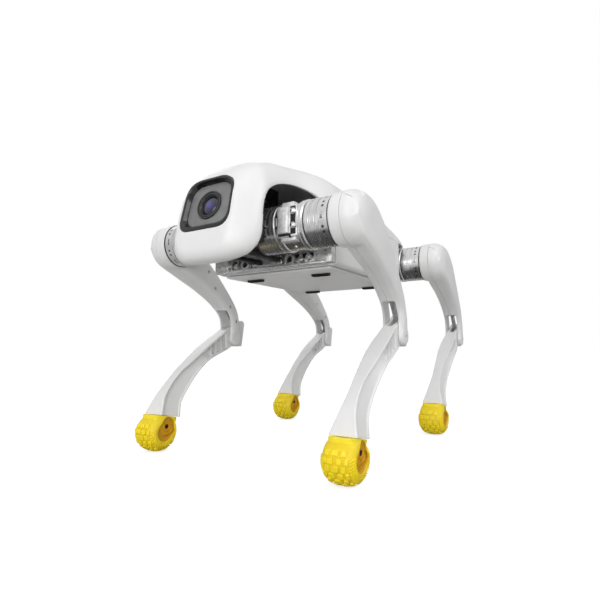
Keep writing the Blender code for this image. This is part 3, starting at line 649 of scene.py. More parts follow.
def make_canopy():
    shell = canopy_form("canopy_shell", 0.0)
    hollow = canopy_form("canopy_hollow", WALL, -0.183, 0.166)
    outline = [(-0.1787, 0.15), *[tuple(point) for point in ARCH_CURVE], (0.2, SEAM_Z), (0.2, 0.15)]
    cut(shell, hollow, prism("canopy_underside", outline, -0.12, 0.12), sharp=50)
    cut(shell, loft("face_opening", [face_ring(0.0318, 0.0282, 0.019, d, 12) for d in (-0.01, 0.012)]))
    button = Vector((0, 0.12, 0.29))
    cut(shell, rod("button_hole", button, button + Vector((0, 0, 0.03)), 0.0063, 48))
    show(shell, WHITE, "torso", "shell_white", "canopy")
    liner = canopy_form("roof_liner", WALL + 0.0006, -0.16, -0.056, 0.003)
    cut(liner, canopy_form("liner_hollow", WALL + 0.0022, -0.165, -0.05, 0.003))
    cut(liner, slab("liner_under", (-0.2, -0.3, 0.1), (0.2, 0.1, 0.2862)))
    cut(liner, slab("liner_front", (-0.2, -0.3, 0.1), (0.2, -0.153, 0.4)))
    show(liner, LINER, "torso", "inner_black", "canopy_liner")


# ---- Camera head ----
LEAN = Vector((0, FACE_TILT, 1)).normalized()
INWARD = Vector((0, 1, -FACE_TILT)).normalized()


def on_face(x, up, depth):
    return FACE + SIDEWAYS * x + LEAN * up + INWARD * depth


def face_ring(half_width, half_height, corner, depth, steps=10, lift=0.0):
    """A rounded outline on the face, wider and tighter at its bottom; lift raises its lower edge."""
    wide, narrow = half_width * 1.03, half_width * 0.965
    low = lift - half_height
    corners = ((-wide, low), (wide, low), (narrow, half_height), (-narrow, half_height))
    return [on_face(p.x, p.y, depth) for p in rounded(corners, (corner * 0.82,) * 2 + (corner,) * 2, steps)]


def make_camera():
    steps = ((0.0313, -0.0002), (0.0313, 0.0098))
    bezel = loft("camera_frame", [face_ring(w, w - 0.0036, 0.0187, d) for w, d in steps])
    hole = (
        (0.03, -0.0012), (0.0292, -0.0004), (0.0283, 0.0012), (0.0272, 0.0044), (0.0269, 0.005),
        (0.0269, 0.012),
    )
    cut(bezel, loft("frame_hole", [face_ring(w, w - 0.0034, 0.0172, d, lift=0.0022) for w, d in hole]))
    soften(bezel, 0.0005, 2, 40)
    show(bezel, BEZEL, "torso", "bezel_black", "camera_bezel")

    panel_steps = ((0.0259, 0.0042), (0.0264, 0.0045), (0.0267, 0.005), (0.0267, 0.0085))
    panel = loft("camera_front", [face_ring(w, w - 0.0034, 0.0166, d, lift=0.0022) for w, d in panel_steps])
    cut(panel, rod("panel_hole", on_face(0, 0, -0.01), on_face(0, 0, 0.02), 0.015, 96))
    soften(panel, 0.0003, 2, 40)
    show(panel, PANEL, "torso", "panel_grey", "camera_panel")

    facing = Matrix.Rotation(pi / 2 - atan(FACE_TILT), 4, "X")
    profile = (
        (0.0103, -0.005), (0.0109, -0.0036), (0.0116, -0.0028), (0.0125, -0.0028), (0.0127, -0.0035),
        (0.0131, -0.0035), (0.0133, -0.0026), (0.0144, -0.0026), (0.0148, -0.0031), (0.0148, -0.016),
        (0.0106, -0.016), (0.0106, -0.009), (0.0099, -0.0084), (0.0099, -0.0068),
    )
    barrel = turned("lens_mount", profile, FACE, facing, 128)
    show(barrel, BARREL, "torso", "lens_barrel", "lens_barrel")
    dome = [(0.0102 * sin(a), -0.0058 + 0.003 * (cos(a) - 0.35)) for a in np.linspace(0, pi / 2, 14)]
    lens = turned("lens_glass", [*dome, (0.0102, -0.01), (0, -0.01)], Vector(), Matrix.Identity(4), 96)
    lens.data.transform(facing)
    dress(lens, LENS)
    lens.location = FACE + SHIFT
    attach(lens, "torso")
    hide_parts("lens")


# ---- Belly ----
SLOT_PLACES = tuple((x, y) for x in (-0.05, 0.045) for y in (-0.042, 0.1))
SLOT_CORNERS = ((-0.0115, -0.0036), (0.0115, -0.0036), (0.0115, 0.0036), (-0.0115, 0.0036))


def make_tray():
    side, inner = BODY_HALF, BODY_HALF - WALL
    top, floor = SEAM_Z - 0.0003, TRAY_BOTTOM
    corners = (
        (-side, top), (-side, floor), (side, floor), (side, top),
        (inner, top), (inner, floor + WALL), (-inner, floor + WALL), (-inner, top),
    )
    section = rounded(corners, 0.0048, 10)
    ends = (TRAY_FRONT, TRAY_FRONT + 0.0008, TRAY_REAR - 0.0008, TRAY_REAR)
    tray = loft("belly_tub", [[(x, y, z) for x, z in section] for y in ends])
    soften(tray, 0.0005, 2, 60)
    show(tray, WHITE, "torso", "shell_white", "belly_tray")

    low, high = (-0.074, TRAY_FRONT + 0.003, 0.202), (0.074, TRAY_REAR - 0.006, TRAY_BOTTOM - 0.0003)
    plate = slab("belly_cover", low, high, 0.0016, 4)
    for x, y in SLOT_PLACES:
        cut(plate, pad("slot", x, y, 0.011, 0.0032, 0.19, 0.21, 0.0012))
        rings = [
            [(x + p.x * share, y + p.y * share, z) for p in rounded(SLOT_CORNERS, 0.002, 4)]
            for share, z in ((1.22, 0.2015), (1.0, 0.2034))
        ]
        cut(plate, loft("slot_chamfer", rings))
    show(plate, WHITE, "torso", "shell_white", "belly_plate")
    # Painted shade: a near-black well under each slot stands for the shade inside it.
    shade_wells = []
    for x, y in SLOT_PLACES:
        well = slab("well", (x - 0.0112, y - 0.0034, 0.1994), (x + 0.0112, y + 0.0034, 0.2051), 0.0008, 3)
        shade_wells.append(cut(well, pad("well_room", x, y, 0.0104, 0.0026, 0.198, 0.2045)))
    show(group("belly_slot_shade", shade_wells), DARK, "torso", "inner_black")


# ---- Inside the body ----
def carry_over():
    """CAD nodes whose shape is right keep it and get a finished material."""
    looks = {
        "chassis_frame": CAST, "battery": BLACK, "main_board": BOARD, "head_bracket": BLACK,
        "camera_module": BOARD, "power_button": GREY, "knee_crank": STEEL, "push_rod": STEEL,
        "knee_pin": CHROME, "roll_motor": TURNED_DARK,
    }
    for name, node in frame["nodes"].items():
        base = name if name in looks else name[:-3]
        if base in looks:
            node.data.materials.clear()
            node.data.materials.append(looks[base])


CASTING_BOSSES = ((0.045, 0.2125), (0.0545, 0.2145), (0.018, 0.212))     # x on the left, and z
PORT_RING = (
    (0.0034, 0.001), (0.004, 0.0022), (0.0056, 0.0022), (0.006, 0.0016), (0.006, -0.004),
    (0.0034, -0.004),
)


def make_front_casting():
    """The cast carrier below the front hips: a ribbed wall with bosses, screws and a round port, with
    near-black fills as painted shade in the ports and along a strip of the wall.
    """
    back, front = TRAY_FRONT - 0.0045, TRAY_FRONT - 0.0115
    rows = [
        ((0.06, front + 0.002, 0.2064), (0.0816, back + 0.004, 0.2345), 0.0012),
        ((0.062, front + 0.0008, 0.2216), (0.0796, back, 0.223), 0.0004),
    ]
    for k in range(5):
        x, top = 0.015 + 0.0095 * k, 0.219 + 0.002 * (k % 2)
        rows.append(((x - 0.0008, front, 0.2075), (x + 0.0008, back, top), 0.0005))
    pieces, screws = side_slabs(rows), []
    # Painted shade: near-black fills inside the ports and along a strip of the wall stand for the shade in
    # them.
    shade_fills = side_slabs([((0.022, back - 0.0026, 0.215), (0.058, back - 0.0018, 0.2196), 0.0006)])
    for side in (-1, 1):
        port = Vector((side * 0.031, front - 0.0004, 0.2135))
        pieces.append(turned("port", PORT_RING, port, Matrix.Rotation(pi / 2, 4, "X"), 40))
        shade_fills.append(rod("port_shade", (port.x, front - 0.0006, port.z), (port.x, back, port.z), 0.0034, 32))
        for x, z in CASTING_BOSSES:
            pieces.append(rod("boss", (side * x, back, z), (side * x, front - 0.0012, z), 0.003, 24))
            screws.append(socket_screw((side * x, front - 0.0012, z), (0, -1, 0), 0.0021, 0.0013))
        for x in (0.064, 0.075):
            screws.append(socket_screw((side * x, front + 0.002, 0.215), (0, -1, 0), 0.0016, 0.001))
    pieces.append(slab("lip", (-0.0745, front - 0.001, 0.2058), (0.0745, back, 0.2088), 0.0007))
    pieces.append(slab("wall", (-0.059, back - 0.0022, 0.208), (0.059, back, 0.2205), 0.0006))
    show(group("front_casting", pieces), CAST, "torso", "frame_aluminium")
    show(group("front_casting_screws", screws), CHROME, "torso", "steel")
    show(group("front_casting_painted_shade", shade_fills), DARK, "torso", "inner_black")


def make_head_frame():
    """Black ribbed frame between the head and the tray, seen through the arches."""
    rows = [
        ((0.012, -0.156, 0.212), (0.0185, -0.0785, 0.217), 0.0008),
        ((0.03, -0.156, 0.218), (0.043, -0.15, 0.284), 0.001),
    ]
    for k in range(7):
        z = 0.224 + 0.0088 * k
        rows.append(((0.0294, -0.15, z), (0.0436, -0.1465, z + 0.0016), 0.0004))
    for k in range(3):
        x = 0.0325 + 0.0042 * k
        rows.append(((x - 0.0006, -0.15, 0.22), (x + 0.0006, -0.1472, 0.282), 0.0003))
    show(group("head_frame", side_slabs(rows)), BLACK, "torso", "inner_black")


# ---- Hip: bracket and two motors ----
def ring_profile(bore, start, end, radius, grooves, edge=0.0008):
    """A turned band's outline from its outer end to its inner end, with square grooves in it."""
    points = [(bore, start), (radius - edge, start), (radius, start - edge)]
    for at, width, depth in grooves:
        points += [(radius, at + width / 2), (radius - depth, at + width / 2)]
        points += [(radius - depth, at - width / 2), (radius, at - width / 2)]
    points += [(radius, end + edge), (radius - edge, end), (bore, end)]
    return points


def round_hip(angle, radius, x):
    """A point on a drum about the hip axis: angle 0 faces forward, 90 up."""
    a = radians(angle)
    return Vector((x, HIP.y - radius * cos(a), HIP.z + radius * sin(a)))


def out_of_hip(point):
    """The direction from the hip axis to a point."""
    return (point - Vector((point.x, HIP.y, HIP.z))).normalized()


def make_hip_motor():
    r = MOTOR_RADIUS
    grooves = (
        (0.0958, 0.0009, 0.0014), (0.0934, 0.0005, 0.0006), (0.0886, 0.0006, 0.0008),
        (0.0868, 0.0006, 0.0008),
    )
    motor = turned_hip("hip_motor_case", ring_profile(0.0052, 0.1077, 0.0815, r, grooves), 144)
    cutters = []
    for angle in range(-60, 300, 60):
        at = round_hip(angle, r, 0.1012)
        out = round_hip(angle, 1, 0) - Vector(HIP_CENTRE)
        side = SIDEWAYS.cross(out)
        for end in (at - side * 0.0022, at + side * 0.0022):
            cutters.append(rod("vent", end + out * 0.002, end - out * 0.0022, 0.0012, 20))
        slot = slab("vent_gap", (-0.0012, -0.0022, -0.0022), (0.0012, 0.0022, 0.002))
        turn = Matrix((SIDEWAYS, side, out)).transposed().to_4x4()
        slot.data.transform(Matrix.Translation(at) @ turn)
        cutters.append(slot)
        for step in (-24, 24):
            place = round_hip(angle + step, r, 0.1018)
            way = out_of_hip(place)
            cutters.append(rod("screw_hole", place + way * 0.002, place - way * 0.0024, 0.0014, 20))
    cut(motor, *cutters)
    spread(motor, HIP, TURNED, "hip", "hip_motor")
    seal = turned_hip("hip_seal", (
        (0.015, 0.1084), (0.025, 0.1084), (0.0252, 0.1082), (0.0252, 0.1076), (0.025, 0.1074),
        (0.015, 0.1074),
    ))
    spread(seal, HIP, DARK, "hip")
    # Painted shade: a near-black ring inside the case, which shows as the floor of each vent and screw hole.
    outer, inner = r - 0.0021, 0.02
    core = turned_hip("hip_vent_floor_shade", ((inner, 0.107), (outer, 0.107), (outer, 0.0798), (inner, 0.0798)))
    spread(core, HIP, DARK, "hip")


def make_knee_motor():
    grooves = (
        (0.044, 0.0004, 0.0006), (0.0424, 0.0004, 0.0006), (0.038, 0.0009, 0.001),
        (0.033, 0.0004, 0.0005), (0.03, 0.0004, 0.0005), (0.0262, 0.0009, 0.0008),
    )
    motor = turned_hip("knee_motor_case", ring_profile(0.0, 0.0478, 0.0202, MOTOR_RADIUS, grooves), 144)
    spread(motor, HIP, TURNED, "hip", "knee_motor")
    places = [round_hip(angle + 20, 0.019, 0.0202) for angle in range(0, 360, 60)]
    bolts = [socket_screw(at, (-1, 0, 0), 0.0017, 0.0012) for at in places]
    spread(group("knee_motor_bolts", bolts), HIP, CHROME, "hip")


# Each plate of the carrier's face, then each painted shadow, a near-black slab that stands for the shade
# in a gap: x from and to, how far its front is behind the face, z from and to, and the width and steps of
# its rounded edges.
FACE_PLATES = (
    (0.0535, 0.0655, 0.0, -0.012, 0.014, 0.0011, 3),
    (0.0512, 0.0748, 0.0022, -0.015, 0.016, 0.001, 2),
    (0.0545, 0.072, 0.004, -0.019, -0.015, 0.0008, 2),
    (0.056, 0.07, 0.0046, 0.016, 0.02, 0.0008, 2),
    (0.0752, 0.0768, 0.003, -0.013, 0.015, 0.0005, 2),
)
FACE_SHADOWS = (
    (0.0538, 0.0676, 0.0006, -0.0142, -0.0124, 0, 2),
    (0.066, 0.0676, 0.0014, -0.016, -0.0128, 0, 2),
    (0.0672, 0.0736, 0.0018, -0.0132, 0.0146, 0.0008, 2),
)
# Each flanged bolt: x, how far it is behind the face, z, radius and height.
FACE_BOLTS = (
    (0.0703, 0.0024, 0.0095, 0.0027, 0.0026), (0.0703, 0.0024, -0.0045, 0.0027, 0.0026),
    (0.0524, 0.003, 0.006, 0.0019, 0.0022), (0.0524, 0.003, -0.005, 0.0019, 0.0022),
)


def face_slabs(front, back, rows):
    return [
        slab("plate", (x_low, front + behind, HIP.z + z_low), (x_high, back, HIP.z + z_high), bevel, steps)
        for x_low, x_high, behind, z_low, z_high, bevel, steps in rows
    ]


def make_bracket():
    r = 0.0252
    profile = [
        (0.0052, 0.0802), (r - 0.0014, 0.0802), (r, 0.079), (r, 0.0772), (r - 0.001, 0.0768),
        (r - 0.001, 0.0756), (r - 0.0003, 0.075), (r - 0.0003, 0.0736), (r - 0.0014, 0.0732),
        (r - 0.0014, 0.0542), (r - 0.0002, 0.0536), (r - 0.0002, 0.0521), (r - 0.0016, 0.0519),
        (r - 0.0016, 0.0511), (r, 0.0509), (r, 0.049), (r - 0.0008, 0.0481), (0.0052, 0.0481),
    ]
    drum = turned_hip("hip_carrier", profile, 144)
    spread(drum, HIP, TURNED, "hip", "hip_bracket", turn_round=True)

    front = HIP.y - 0.0262
    pieces = face_slabs(front, HIP.y - 0.012, FACE_PLATES)
    start, end = (0.052, front + 0.0046, HIP.z - 0.001), (0.038, front + 0.002, HIP.z - 0.002)
    pieces.append(rod("tab", start, end, 0.0015, 20, 0.0009))
    start, end = (ROLL_X, HIP.y + 0.012, HIP.z), (ROLL_X, TRAY_FRONT - 0.0153, HIP.z)
    pieces.append(rod("roll_boss", start, end, 0.0115, 64))
    spread(group("hip_carrier_face", pieces), HIP, CAST_BRIGHT, "hip", turn_round=True)

    bolts = []
    for x, behind, z, *size in FACE_BOLTS:
        bolts.append(hex_bolt((x, front + behind, HIP.z + z), (0, -1, 0), *size))
    for angle in (-70, -30, 60, 100):
        at = round_hip(angle, r - 0.0014, 0.064)
        bolts.append(socket_screw(at, out_of_hip(at), 0.0017, 0.0012))
    spread(group("hip_carrier_bolts", bolts), HIP, CHROME, "hip", turn_round=True)
    # Painted shadows: near-black slabs in the gaps between the face's plates and round a bolt, where shade
    # falls.
    shadow_slabs = face_slabs(front, HIP.y - 0.013, FACE_SHADOWS)
    spread(group("hip_carrier_painted_shadows", shadow_slabs), HIP, DARK, "hip", turn_round=True)


# ---- Thigh ----
# Each station: its centre from the hip axis as y and z, then how far the section reaches to
# its front and its back, on the outer side and on the inner side, and its outer face.
THIGH_STATIONS = (
    (-0.0135, 0.01, 0.0185, 0.0185, 0.016, 0.016, 0.1372),
    (0.003, -0.0015, 0.0238, 0.0255, 0.02, 0.024, 0.1395),
    (0.028, -0.019, 0.018, 0.026, 0.015, 0.0225, 0.1396),
    (0.0523, -0.0347, 0.014, 0.023, 0.0095, 0.0198, 0.1375),
    (0.0783, -0.0537, 0.0095, 0.017, 0.0065, 0.0155, 0.136),
    (0.0963, -0.0685, 0.0088, 0.0122, 0.0072, 0.012, 0.135),
    (0.1045, -0.0797, 0.009, 0.0097, 0.0082, 0.0105, 0.1345),
    (0.108, -0.0927, 0.01, 0.0098, 0.0095, 0.0092, 0.1343),
    (0.1082, -0.104, 0.0108, 0.0108, 0.0105, 0.0105, 0.134),
)
THIGH_INNER_X = 0.1084
THIGH_SCREWS = ((0.16, -0.008), (0.16, 0.01), (0.42, 0.008), (0.55, -0.001), (0.74, 0.0), (0.9, 0.0))
KNEE_EYE = (
    (0, 0.134), (0.0085, 0.1338), (0.0106, 0.1326), (0.0111, 0.13), (0.0111, 0.1105),
    (0.01, THIGH_INNER_X), (0, THIGH_INNER_X),
)
DRUM = (
    (0, 0.1403), (0.008, 0.1398), (0.014, 0.1384), (0.019, 0.1362), (0.0228, 0.1334), (0.0254, 0.1302),
    (0.0265, 0.1272), (0.0268, 0.1245), (0.0266, 0.12), (0.0264, 0.109), (0.0256, 0.108), (0, 0.108),
)


def thigh_frames():
    """Each smooth station with its middle and the direction across the thigh."""
    stations = flow(THIGH_STATIONS, 0.004)
    middles = [Vector((0, HIP.y + s[0], HIP.z + s[1])) for s in stations]
    frames = []
    for i, station in enumerate(stations):
        run = (middles[min(i + 1, len(middles) - 1)] - middles[max(i - 1, 0)]).normalized()
        frames.append((station, middles[i], Vector((0, -run.z, run.y))))
    return frames


def thigh_section(station, middle, across):
    _, _, front_out, back_out, front_in, back_in, outer = station
    corners = ((THIGH_INNER_X, -front_in), (outer, -front_out), (outer, back_out), (THIGH_INNER_X, back_in))
    return [middle + SIDEWAYS * p.x + across * p.y for p in rounded(corners, 0.0085, 8)]


def channel_section(station, middle, across):
    _, _, _, _, front, back, _ = station
    low, high, half = -front + 0.0021, back - 0.0021, SLOT_HALF - 0.0002
    corners = ((LEG_X - half, low), (LEG_X + half, low), (LEG_X + half, high), (LEG_X - half, high))
    return [middle + SIDEWAYS * x + across * n for x, n in corners]


def thigh_screw_place(share, n):
    """A point on the thigh: share of its length, and n across (negative to the front)."""
    frames = thigh_frames()
    _, middle, across = frames[round(share * (len(frames) - 1))]
    return middle + across * n


def make_thigh():
    frames = thigh_frames()
    drum = turned_hip("drum", DRUM)
    arm = loft("arm", [thigh_section(*f) for f in frames])
    eye = turned("eye", KNEE_EYE, (0, KNEE.y, KNEE.z), steps=64)
    whole = fuse("thigh", [drum, arm, eye], 0.0008, 30)
    inner_frames = [f for i, f in enumerate(frames) if i <= len(frames) * 0.74]
    low, high = LEG_X - SLOT_HALF, LEG_X + SLOT_HALF
    cutters = [
        loft("channel", [channel_section(*f) for f in inner_frames]),
        rod("pocket", (low - 0.0003, HIP.y, HIP.z), (high + 0.0003, HIP.y, HIP.z), 0.0232, 64),
        slab("fork", (low, KNEE.y - 0.06, KNEE.z - 0.03), (high, KNEE.y + 0.04, KNEE.z + 0.0375), 0.0012),
        rod("shaft_hole", (0.1, HIP.y, HIP.z), (LEG_X, HIP.y, HIP.z), 0.005, 40),
        rod("pin_hole", (0.1104, KNEE.y, KNEE.z), (0.132, KNEE.y, KNEE.z), 0.0043, 40),
    ]
    cut(whole, *cutters, sharp=40)
    cut(whole, *thigh_details(), sharp=40)
    for side, name in ((-1, "inner"), (1, "outer")):
        half = link(f"thigh_shell_{name}", whole.data.copy())
        near, far = LEG_X + side * 0.00022, LEG_X - side * 0.1
        cut(half, slab("other_half", (min(near, far), -0.4, 0), (max(near, far), 0.4, 0.4)), sharp=40)
        spread(half, HIP, WHITE_LEG, "thigh", f"thigh_{name}")
    bpy.data.objects.remove(whole)


def thigh_details():
    """Cutters for the screw holes inside and the short line on top of the drum."""
    cutters = []
    for share, n in THIGH_SCREWS:
        at = thigh_screw_place(share, n)
        cutters.append(rod("screw_well", (0.1075, at.y, at.z), (0.1108, at.y, at.z), 0.0021, 24))
    ends = [round_hip(angle, r, x) for angle, x in ((42, 0.1225), (28, 0.1365)) for r in (0.024, 0.031)]
    outline = (ends[0], ends[1], ends[3], ends[2])
    cutters.append(loft("lid_line", [[p + Vector((0, y, 0)) for p in outline] for y in (-0.0004, 0.0004)]))
    return cutters


def make_thigh_screws():
    screws = []
    for share, n in THIGH_SCREWS:
        at = thigh_screw_place(share, n)
        screws.append(socket_screw((0.1104, at.y, at.z), (-1, 0, 0), 0.0016, 0.0012))
    screws.append(rod("tip_dot", (0.1322, KNEE.y, KNEE.z), (0.1343, KNEE.y, KNEE.z), 0.0011, 20))
    spread(group("thigh_screws", screws), HIP, STEEL, "thigh")


# ---- Shank ----
# Each station, from the knee: front edge y and z, back edge y and z, half width of the front
# flange, half width of the back flange.
SHANK_STATIONS = (
    (-0.013, 0.0125, -0.006, -0.0125, 0.0074, 0.0074),
    (-0.027, 0.004, -0.017, -0.017, 0.0082, 0.0085),
    (-0.044, -0.006, -0.033, -0.022, 0.009, 0.011),
    (-0.066, -0.02, -0.052, -0.029, 0.009, 0.0125),
    (-0.08, -0.03, -0.064, -0.037, 0.008, 0.0125),
    (-0.095, -0.0405, -0.072, -0.045, 0.0066, 0.0115),
    (-0.109, -0.0535, -0.08, -0.055, 0.0062, 0.0102),
    (-0.1215, -0.068, -0.09, -0.068, 0.0082, 0.0096),
    (-0.1275, -0.079, -0.0975, -0.08, 0.0112, 0.0104),
    (-0.1314, -0.0886, -0.1005, -0.0946, 0.0142, 0.0124),
)
TONGUE = (
    (-0.0165, 0.0085), (-0.0105, 0.013), (0.001, 0.0165), (0.011, 0.024), (0.018, 0.0245),
    (0.0222, 0.0205), (0.0165, -0.0118), (-0.006, -0.0118), (-0.0165, -0.015),
)
FLANGE = 0.0032
LEVER_GAP = 0.0033      # half the width of the slot for the push rod's eye


def shank_edges(station):
    """The front and back edge of the shank at a station, from the knee."""
    return Vector((0, station[0], station[1])), Vector((0, station[2], station[3]))


def shank_rail(stations, at_front, depth):
    """One flange of the shank's I-beam, as rounded bars from the knee to the foot."""
    rings = []
    for s in stations:
        front, back = shank_edges(s)
        inward = (back - front).normalized()
        half = s[4] if at_front else s[5]
        edge, way = (front, inward) if at_front else (back, -inward)
        corners = ((-half, 0), (half, 0), (half, depth), (-half, depth))
        rings.append([KNEE + edge + SIDEWAYS * p.x + way * p.y for p in rounded(corners, 0.0013, 4)])
    return rings


def shank_web(stations, half):
    """The I-beam's middle: thin at the knee, then flaring from behind the front flange to the back."""
    rings = []
    for i, s in enumerate(stations):
        front, back = shank_edges(s)
        inward = (back - front).normalized()
        full = min(1, max(0, (i / len(stations) - 0.24) / 0.14))
        near_half = half + full * max(0, s[4] - 0.0056 - half)
        far_half = half + full * max(0, s[5] - 0.0016 - half)
        near, far = front + inward * 0.001, back - inward * 0.0006
        sides = ((near, -near_half), (far, -far_half), (far, far_half), (near, near_half))
        rings.append([KNEE + p + SIDEWAYS * x for p, x in sides])
    return rings


def shank_rib(stations, share, half):
    """A slanted rib across the I-beam's side."""
    last = len(stations) - 1
    front = shank_edges(stations[round(share * last)])[0]
    back = shank_edges(stations[round((share + 0.05) * last)])[1]
    run = (back - front).normalized()
    side = Vector((0, -run.z, run.y)) * 0.0006
    near, far = KNEE + front + run * 0.001, KNEE + back - run * 0.001
    outline = [(p.y, p.z) for p in (near + side, far + side, far - side, near - side)]
    return prism("rib", outline, KNEE.x - half, KNEE.x + half)


def make_shank():
    stations = flow(SHANK_STATIONS, 0.004)
    pieces = [
        loft("front_rail", shank_rail(stations, True, FLANGE)),
        loft("back_rail", shank_rail(stations, False, FLANGE * 0.8)),
        loft("web", shank_web(stations, 0.0018)),
    ]
    for share in (0.05, 0.12, 0.19, 0.26):
        s = stations[round(share * (len(stations) - 1))]
        pieces.append(shank_rib(stations, share, min(s[4], s[5]) - 0.0012))
    half = SLOT_HALF - 0.0006
    tongue = prism("tongue", [(KNEE.y + y, KNEE.z + z) for y, z in TONGUE], LEG_X - half, LEG_X + half)
    pieces.append(soften(tongue, 0.001, 3))
    whole = fuse("shank_shell", pieces, 0.0007, 3)
    cutters = [rod("knee_hole", (0.1, KNEE.y, KNEE.z), (0.14, KNEE.y, KNEE.z), 0.0043, 40)]
    for y, z in ((0.004, 0.0048), (-0.016, 0.01)):
        low = (LEG_X - LEVER_GAP, KNEE.y + y, KNEE.z + z)
        cutters.append(slab("lever_slot", low, (LEG_X + LEVER_GAP, KNEE.y + 0.0165, KNEE.z + 0.04)))
    cut(whole, *cutters, sharp=40)
    spread(whole, KNEE, WHITE_LEG, "shank", "shank")
    at = KNEE + LEVER
    pin = rod("lever_pin", (LEG_X - 0.006, at.y, at.z), (LEG_X + 0.006, at.y, at.z), 0.0022, 32)
    spread(pin, KNEE, STEEL, "shank")


# ---- Foot ----
LUG = 0.002
POCKET_AT = (0.0045, 0.0055)    # y and z of the side pocket from the foot's centre
COLLAR_TOP = 0.0196
HUB_DISC = (
    (0, 0.0008), (0.0036, 0.0008), (0.004, 0.0018), (0.005, 0.0018), (0.0054, 0.0008), (0.0084, 0.0008),
    (0.009, 0.0014), (0.0103, 0.0012), (0.0105, 0.0002), (0.0105, -0.001), (0, -0.001),
)


def tread_point(along, across, height):
    """A point over the tread: along is the angle from straight down, towards the front; across is the
    angle over the section, 0 in the middle and 90 at the side."""
    power = 2 / TREAD_POWER
    c, s = cos(radians(across)), sin(radians(across))
    x = FOOT_HALF_WIDTH * abs(s) ** power * (1 if s > 0 else -1)
    radius = TREAD_HUB + (TREAD_CORE - TREAD_HUB) * abs(c) ** power
    x += height * s * 0.8
    radius += height * c
    return around_foot(x, radius, along)


def lug(along, across, half_along, half_across, height=LUG, slant=0.0):
    """A tapered block that follows the tread; slant turns it as it nears the side."""
    rings = []
    for level, share in ((-0.0012, 1.0), (height * 0.82, 0.93), (height, 0.8)):
        corners = [(u * half_along, v * half_across) for u, v in ((-1, -1), (1, -1), (1, 1), (-1, 1))]
        ring = rounded([(u * share, v * share) for u, v in corners], 1.3, 3)
        rings.append([tread_point(along + p.x + slant * p.y, across + p.y, level) for p in ring])
    return loft("lug", rings, 30)


def around_foot(x, radius, angle):
    a = radians(angle)
    return FOOT + Vector((x, -radius * sin(a), -radius * cos(a)))


def make_foot():
    angles = np.linspace(0, 360, 97)[:-1]
    hub = FOOT_HALF_WIDTH - 0.003
    rings = [[tread_point(a, across, 0) for a in angles] for across in np.linspace(-89.5, 89.5, 41)]
    near, far = ([around_foot(x, 0.0098, a) for a in angles] for x in (-hub, hub))
    tyre = loft("tyre", [near, *rings, far])
    collar = loft("collar", [foot_section(z) for z in np.linspace(-0.002, COLLAR_TOP, 12)])
    core = fuse("foot_core", [tyre, collar], 0.0007, 4)
    slope = ((-0.04, 0.0197), (-0.006, 0.0192), (0.04, 0.01), (0.04, 0.05), (-0.04, 0.05))
    cut(core, prism("foot_top", [(FOOT.y + y, FOOT.z + z) for y, z in slope], 0.05, 0.2), sharp=40)
    pocket = FOOT_HALF_WIDTH * 0.93 - 0.0036
    discs, shade_fills = [], []
    for side in (-1, 1):
        start = FOOT + Vector((side * pocket, *POCKET_AT))
        cut(core, rod("pocket", start, start + SIDEWAYS * side * 0.02, 0.0106, 48, 0.0125))
        rim = FOOT + Vector((side * (pocket - 0.0002), *POCKET_AT))
        discs.append(turned("disc", HUB_DISC, rim, Matrix.Rotation(side * pi / 2, 4, "Y"), 64))
        # Painted shade: a near-black disc in the hub's middle stands for the shade in its hole.
        shade_fills.append(rod("hub_hole", rim, rim + SIDEWAYS * side * 0.0013, 0.0024, 24))
    lugs = []
    for row in range(13):
        for w in (-33, -10.5, 10.5, 33) if row % 2 else (-21.5, 0, 21.5):
            lugs.append(lug(18 * row - 102, w, 7.0, 7.4 if abs(w) < 30 else 6.4))
    for row in range(25):
        for side in (-1, 1):
            lugs.append(lug(9 * row - 112, 60 * side, 2.7, 17, 0.0015, 0.35 * side))
    spread(group("foot_tyre", [core, *lugs]), KNEE, YELLOW, "shank", "foot")
    spread(group("foot_hub", discs), KNEE, AMBER, "shank")
    spread(group("foot_hub_hole_shade", shade_fills), KNEE, DARK, "shank")


def foot_section(z):
    """A rounded section of the smooth heel band that meets the shank."""
    share = max(0.0, min(1.0, z / COLLAR_TOP))
    half_x = FOOT_HALF_WIDTH - 0.004 + 0.0012 * share
    front, back = -0.012, 0.0196 + 0.004 * share
    corners = ((-half_x, front), (half_x, front), (half_x, back), (-half_x, back))
    return [FOOT + Vector((p.x, p.y, z)) for p in rounded(corners, 0.0085, 8)]


# ---- Studio ----
CAMERA_AT = Vector((0.3027, -0.4964, 0.1193))
CAMERA_TURN = (90 + 5.7334, 0, 32.2175)
CAMERA_LENS = 27.228


def make_camera_view():
    data = bpy.data.cameras.new("camera")
    data.lens = CAMERA_LENS
    data.sensor_width = 36
    data.clip_start = 0.01
    view = link("camera", data)
    view.location = CAMERA_AT + SHIFT
    view.rotation_euler = [radians(turn) for turn in CAMERA_TURN]
    bpy.context.scene.camera = view


def area_light(name, place, height, size, power):
    """A rectangular lamp that faces the point at a height over the origin."""
    data = bpy.data.lights.new(name, "AREA")
    data.shape = "RECTANGLE"
    data.size, data.size_y = size
    data.energy = power
    lamp = link(name, data)
    lamp.location = place
    lamp.rotation_euler = (Vector((0, 0, height)) - Vector(place)).to_track_quat("-Z", "Y").to_euler()


def stage_piece(made, material, *unseen):
    """A studio piece that the named kinds of ray pass through."""
    made.data.materials.append(material)
    for ray in unseen:
        setattr(made, f"visible_{ray}", False)


def studio_look(name, tone, rough, **values):
    look = Look(name, (tone,) * 3, rough, **values)
    look.vary_roughness(rough - 0.1, rough + 0.1, 5)
    return look.material


def glow(name, strength):
    """An even white light-box surface."""
    made = bpy.data.materials.new(name)
    made.use_nodes = True
    tree = made.node_tree
    tree.nodes.remove(tree.nodes["Principled BSDF"])
    light = add_node(tree, "Emission", Strength=strength)
    feed(tree, tree.nodes["Material Output"], Surface=light.outputs[0])
    return made


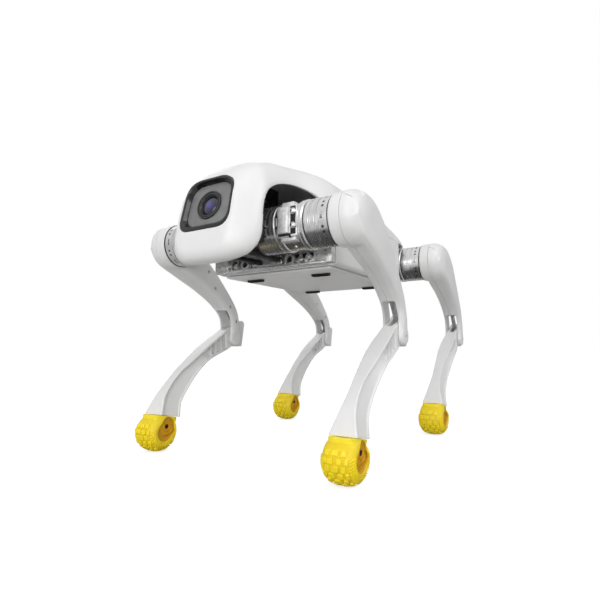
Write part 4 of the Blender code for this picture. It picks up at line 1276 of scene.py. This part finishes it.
def make_studio():
    scene = bpy.context.scene
    scene.view_settings.view_transform = "Standard"
    scene.world = bpy.data.worlds.new("studio")
    scene.world.use_nodes = True
    tree = scene.world.node_tree
    place = add_node(tree, "TexCoord").outputs["Generated"]
    height = add_node(tree, "SeparateXYZ", Vector=place).outputs["Z"]
    strength = map_range(tree, height, (-0.2, 0.9), (0.38, 0.72))
    feed(tree, tree.nodes["Background"], Strength=strength, Color=(1, 1, 1, 1))

    rays = ("diffuse", "glossy", "transmission", "shadow")
    dome = bmesh.new()
    bmesh.ops.create_uvsphere(dome, u_segments=48, v_segments=24, radius=9)
    stage_piece(add("backdrop", dome), glow("backdrop_white", 1.0), *rays)
    lit = {"Emission_Color": (1, 1, 1, 1), "Emission_Strength": 0.7}
    stage_piece(sheet("floor", 0), studio_look("floor_pale", 0.62, 0.7, **lit), *rays)
    stage_piece(sheet("floor_bounce", -0.001), studio_look("floor_bounce", 0.5, 0.8), "camera")
    card = slab("card_low", (-0.3, -0.42, -0.0005), (0.3, 0.3, 0.0))
    stage_piece(card, studio_look("card_dark", 0.02, 0.9), "camera", "diffuse", "shadow", "transmission")

    area_light("key", (0.5, -1.0, 1.5), 0.2, (1.2, 1.2), 1.5)
    area_light("fill", (0.8, -1.5, 0.35), 0.15, (0.7, 0.9), 5)
    area_light("side", (1.3, -0.3, 1.1), 0.2, (0.8, 0.8), 4)
    area_light("front", (0.15, -1.4, 0.45), 0.24, (1.0, 0.7), 4)
    area_light("rim", (-1.3, 0.8, 1.0), 0.25, (1.0, 1.0), 3)


def sheet(name, z):
    bm = bmesh.new()
    bmesh.ops.create_grid(bm, x_segments=1, y_segments=1, size=8)
    bmesh.ops.translate(bm, vec=(0, 0, z), verts=bm.verts)
    return add(name, bm)


# ---- Everything ----
make_camera_view()
make_canopy()
make_camera()
make_tray()
carry_over()
make_front_casting()
make_head_frame()
make_hip_motor()
make_knee_motor()
make_bracket()
make_thigh()
make_thigh_screws()
make_shank()
make_foot()
make_studio()
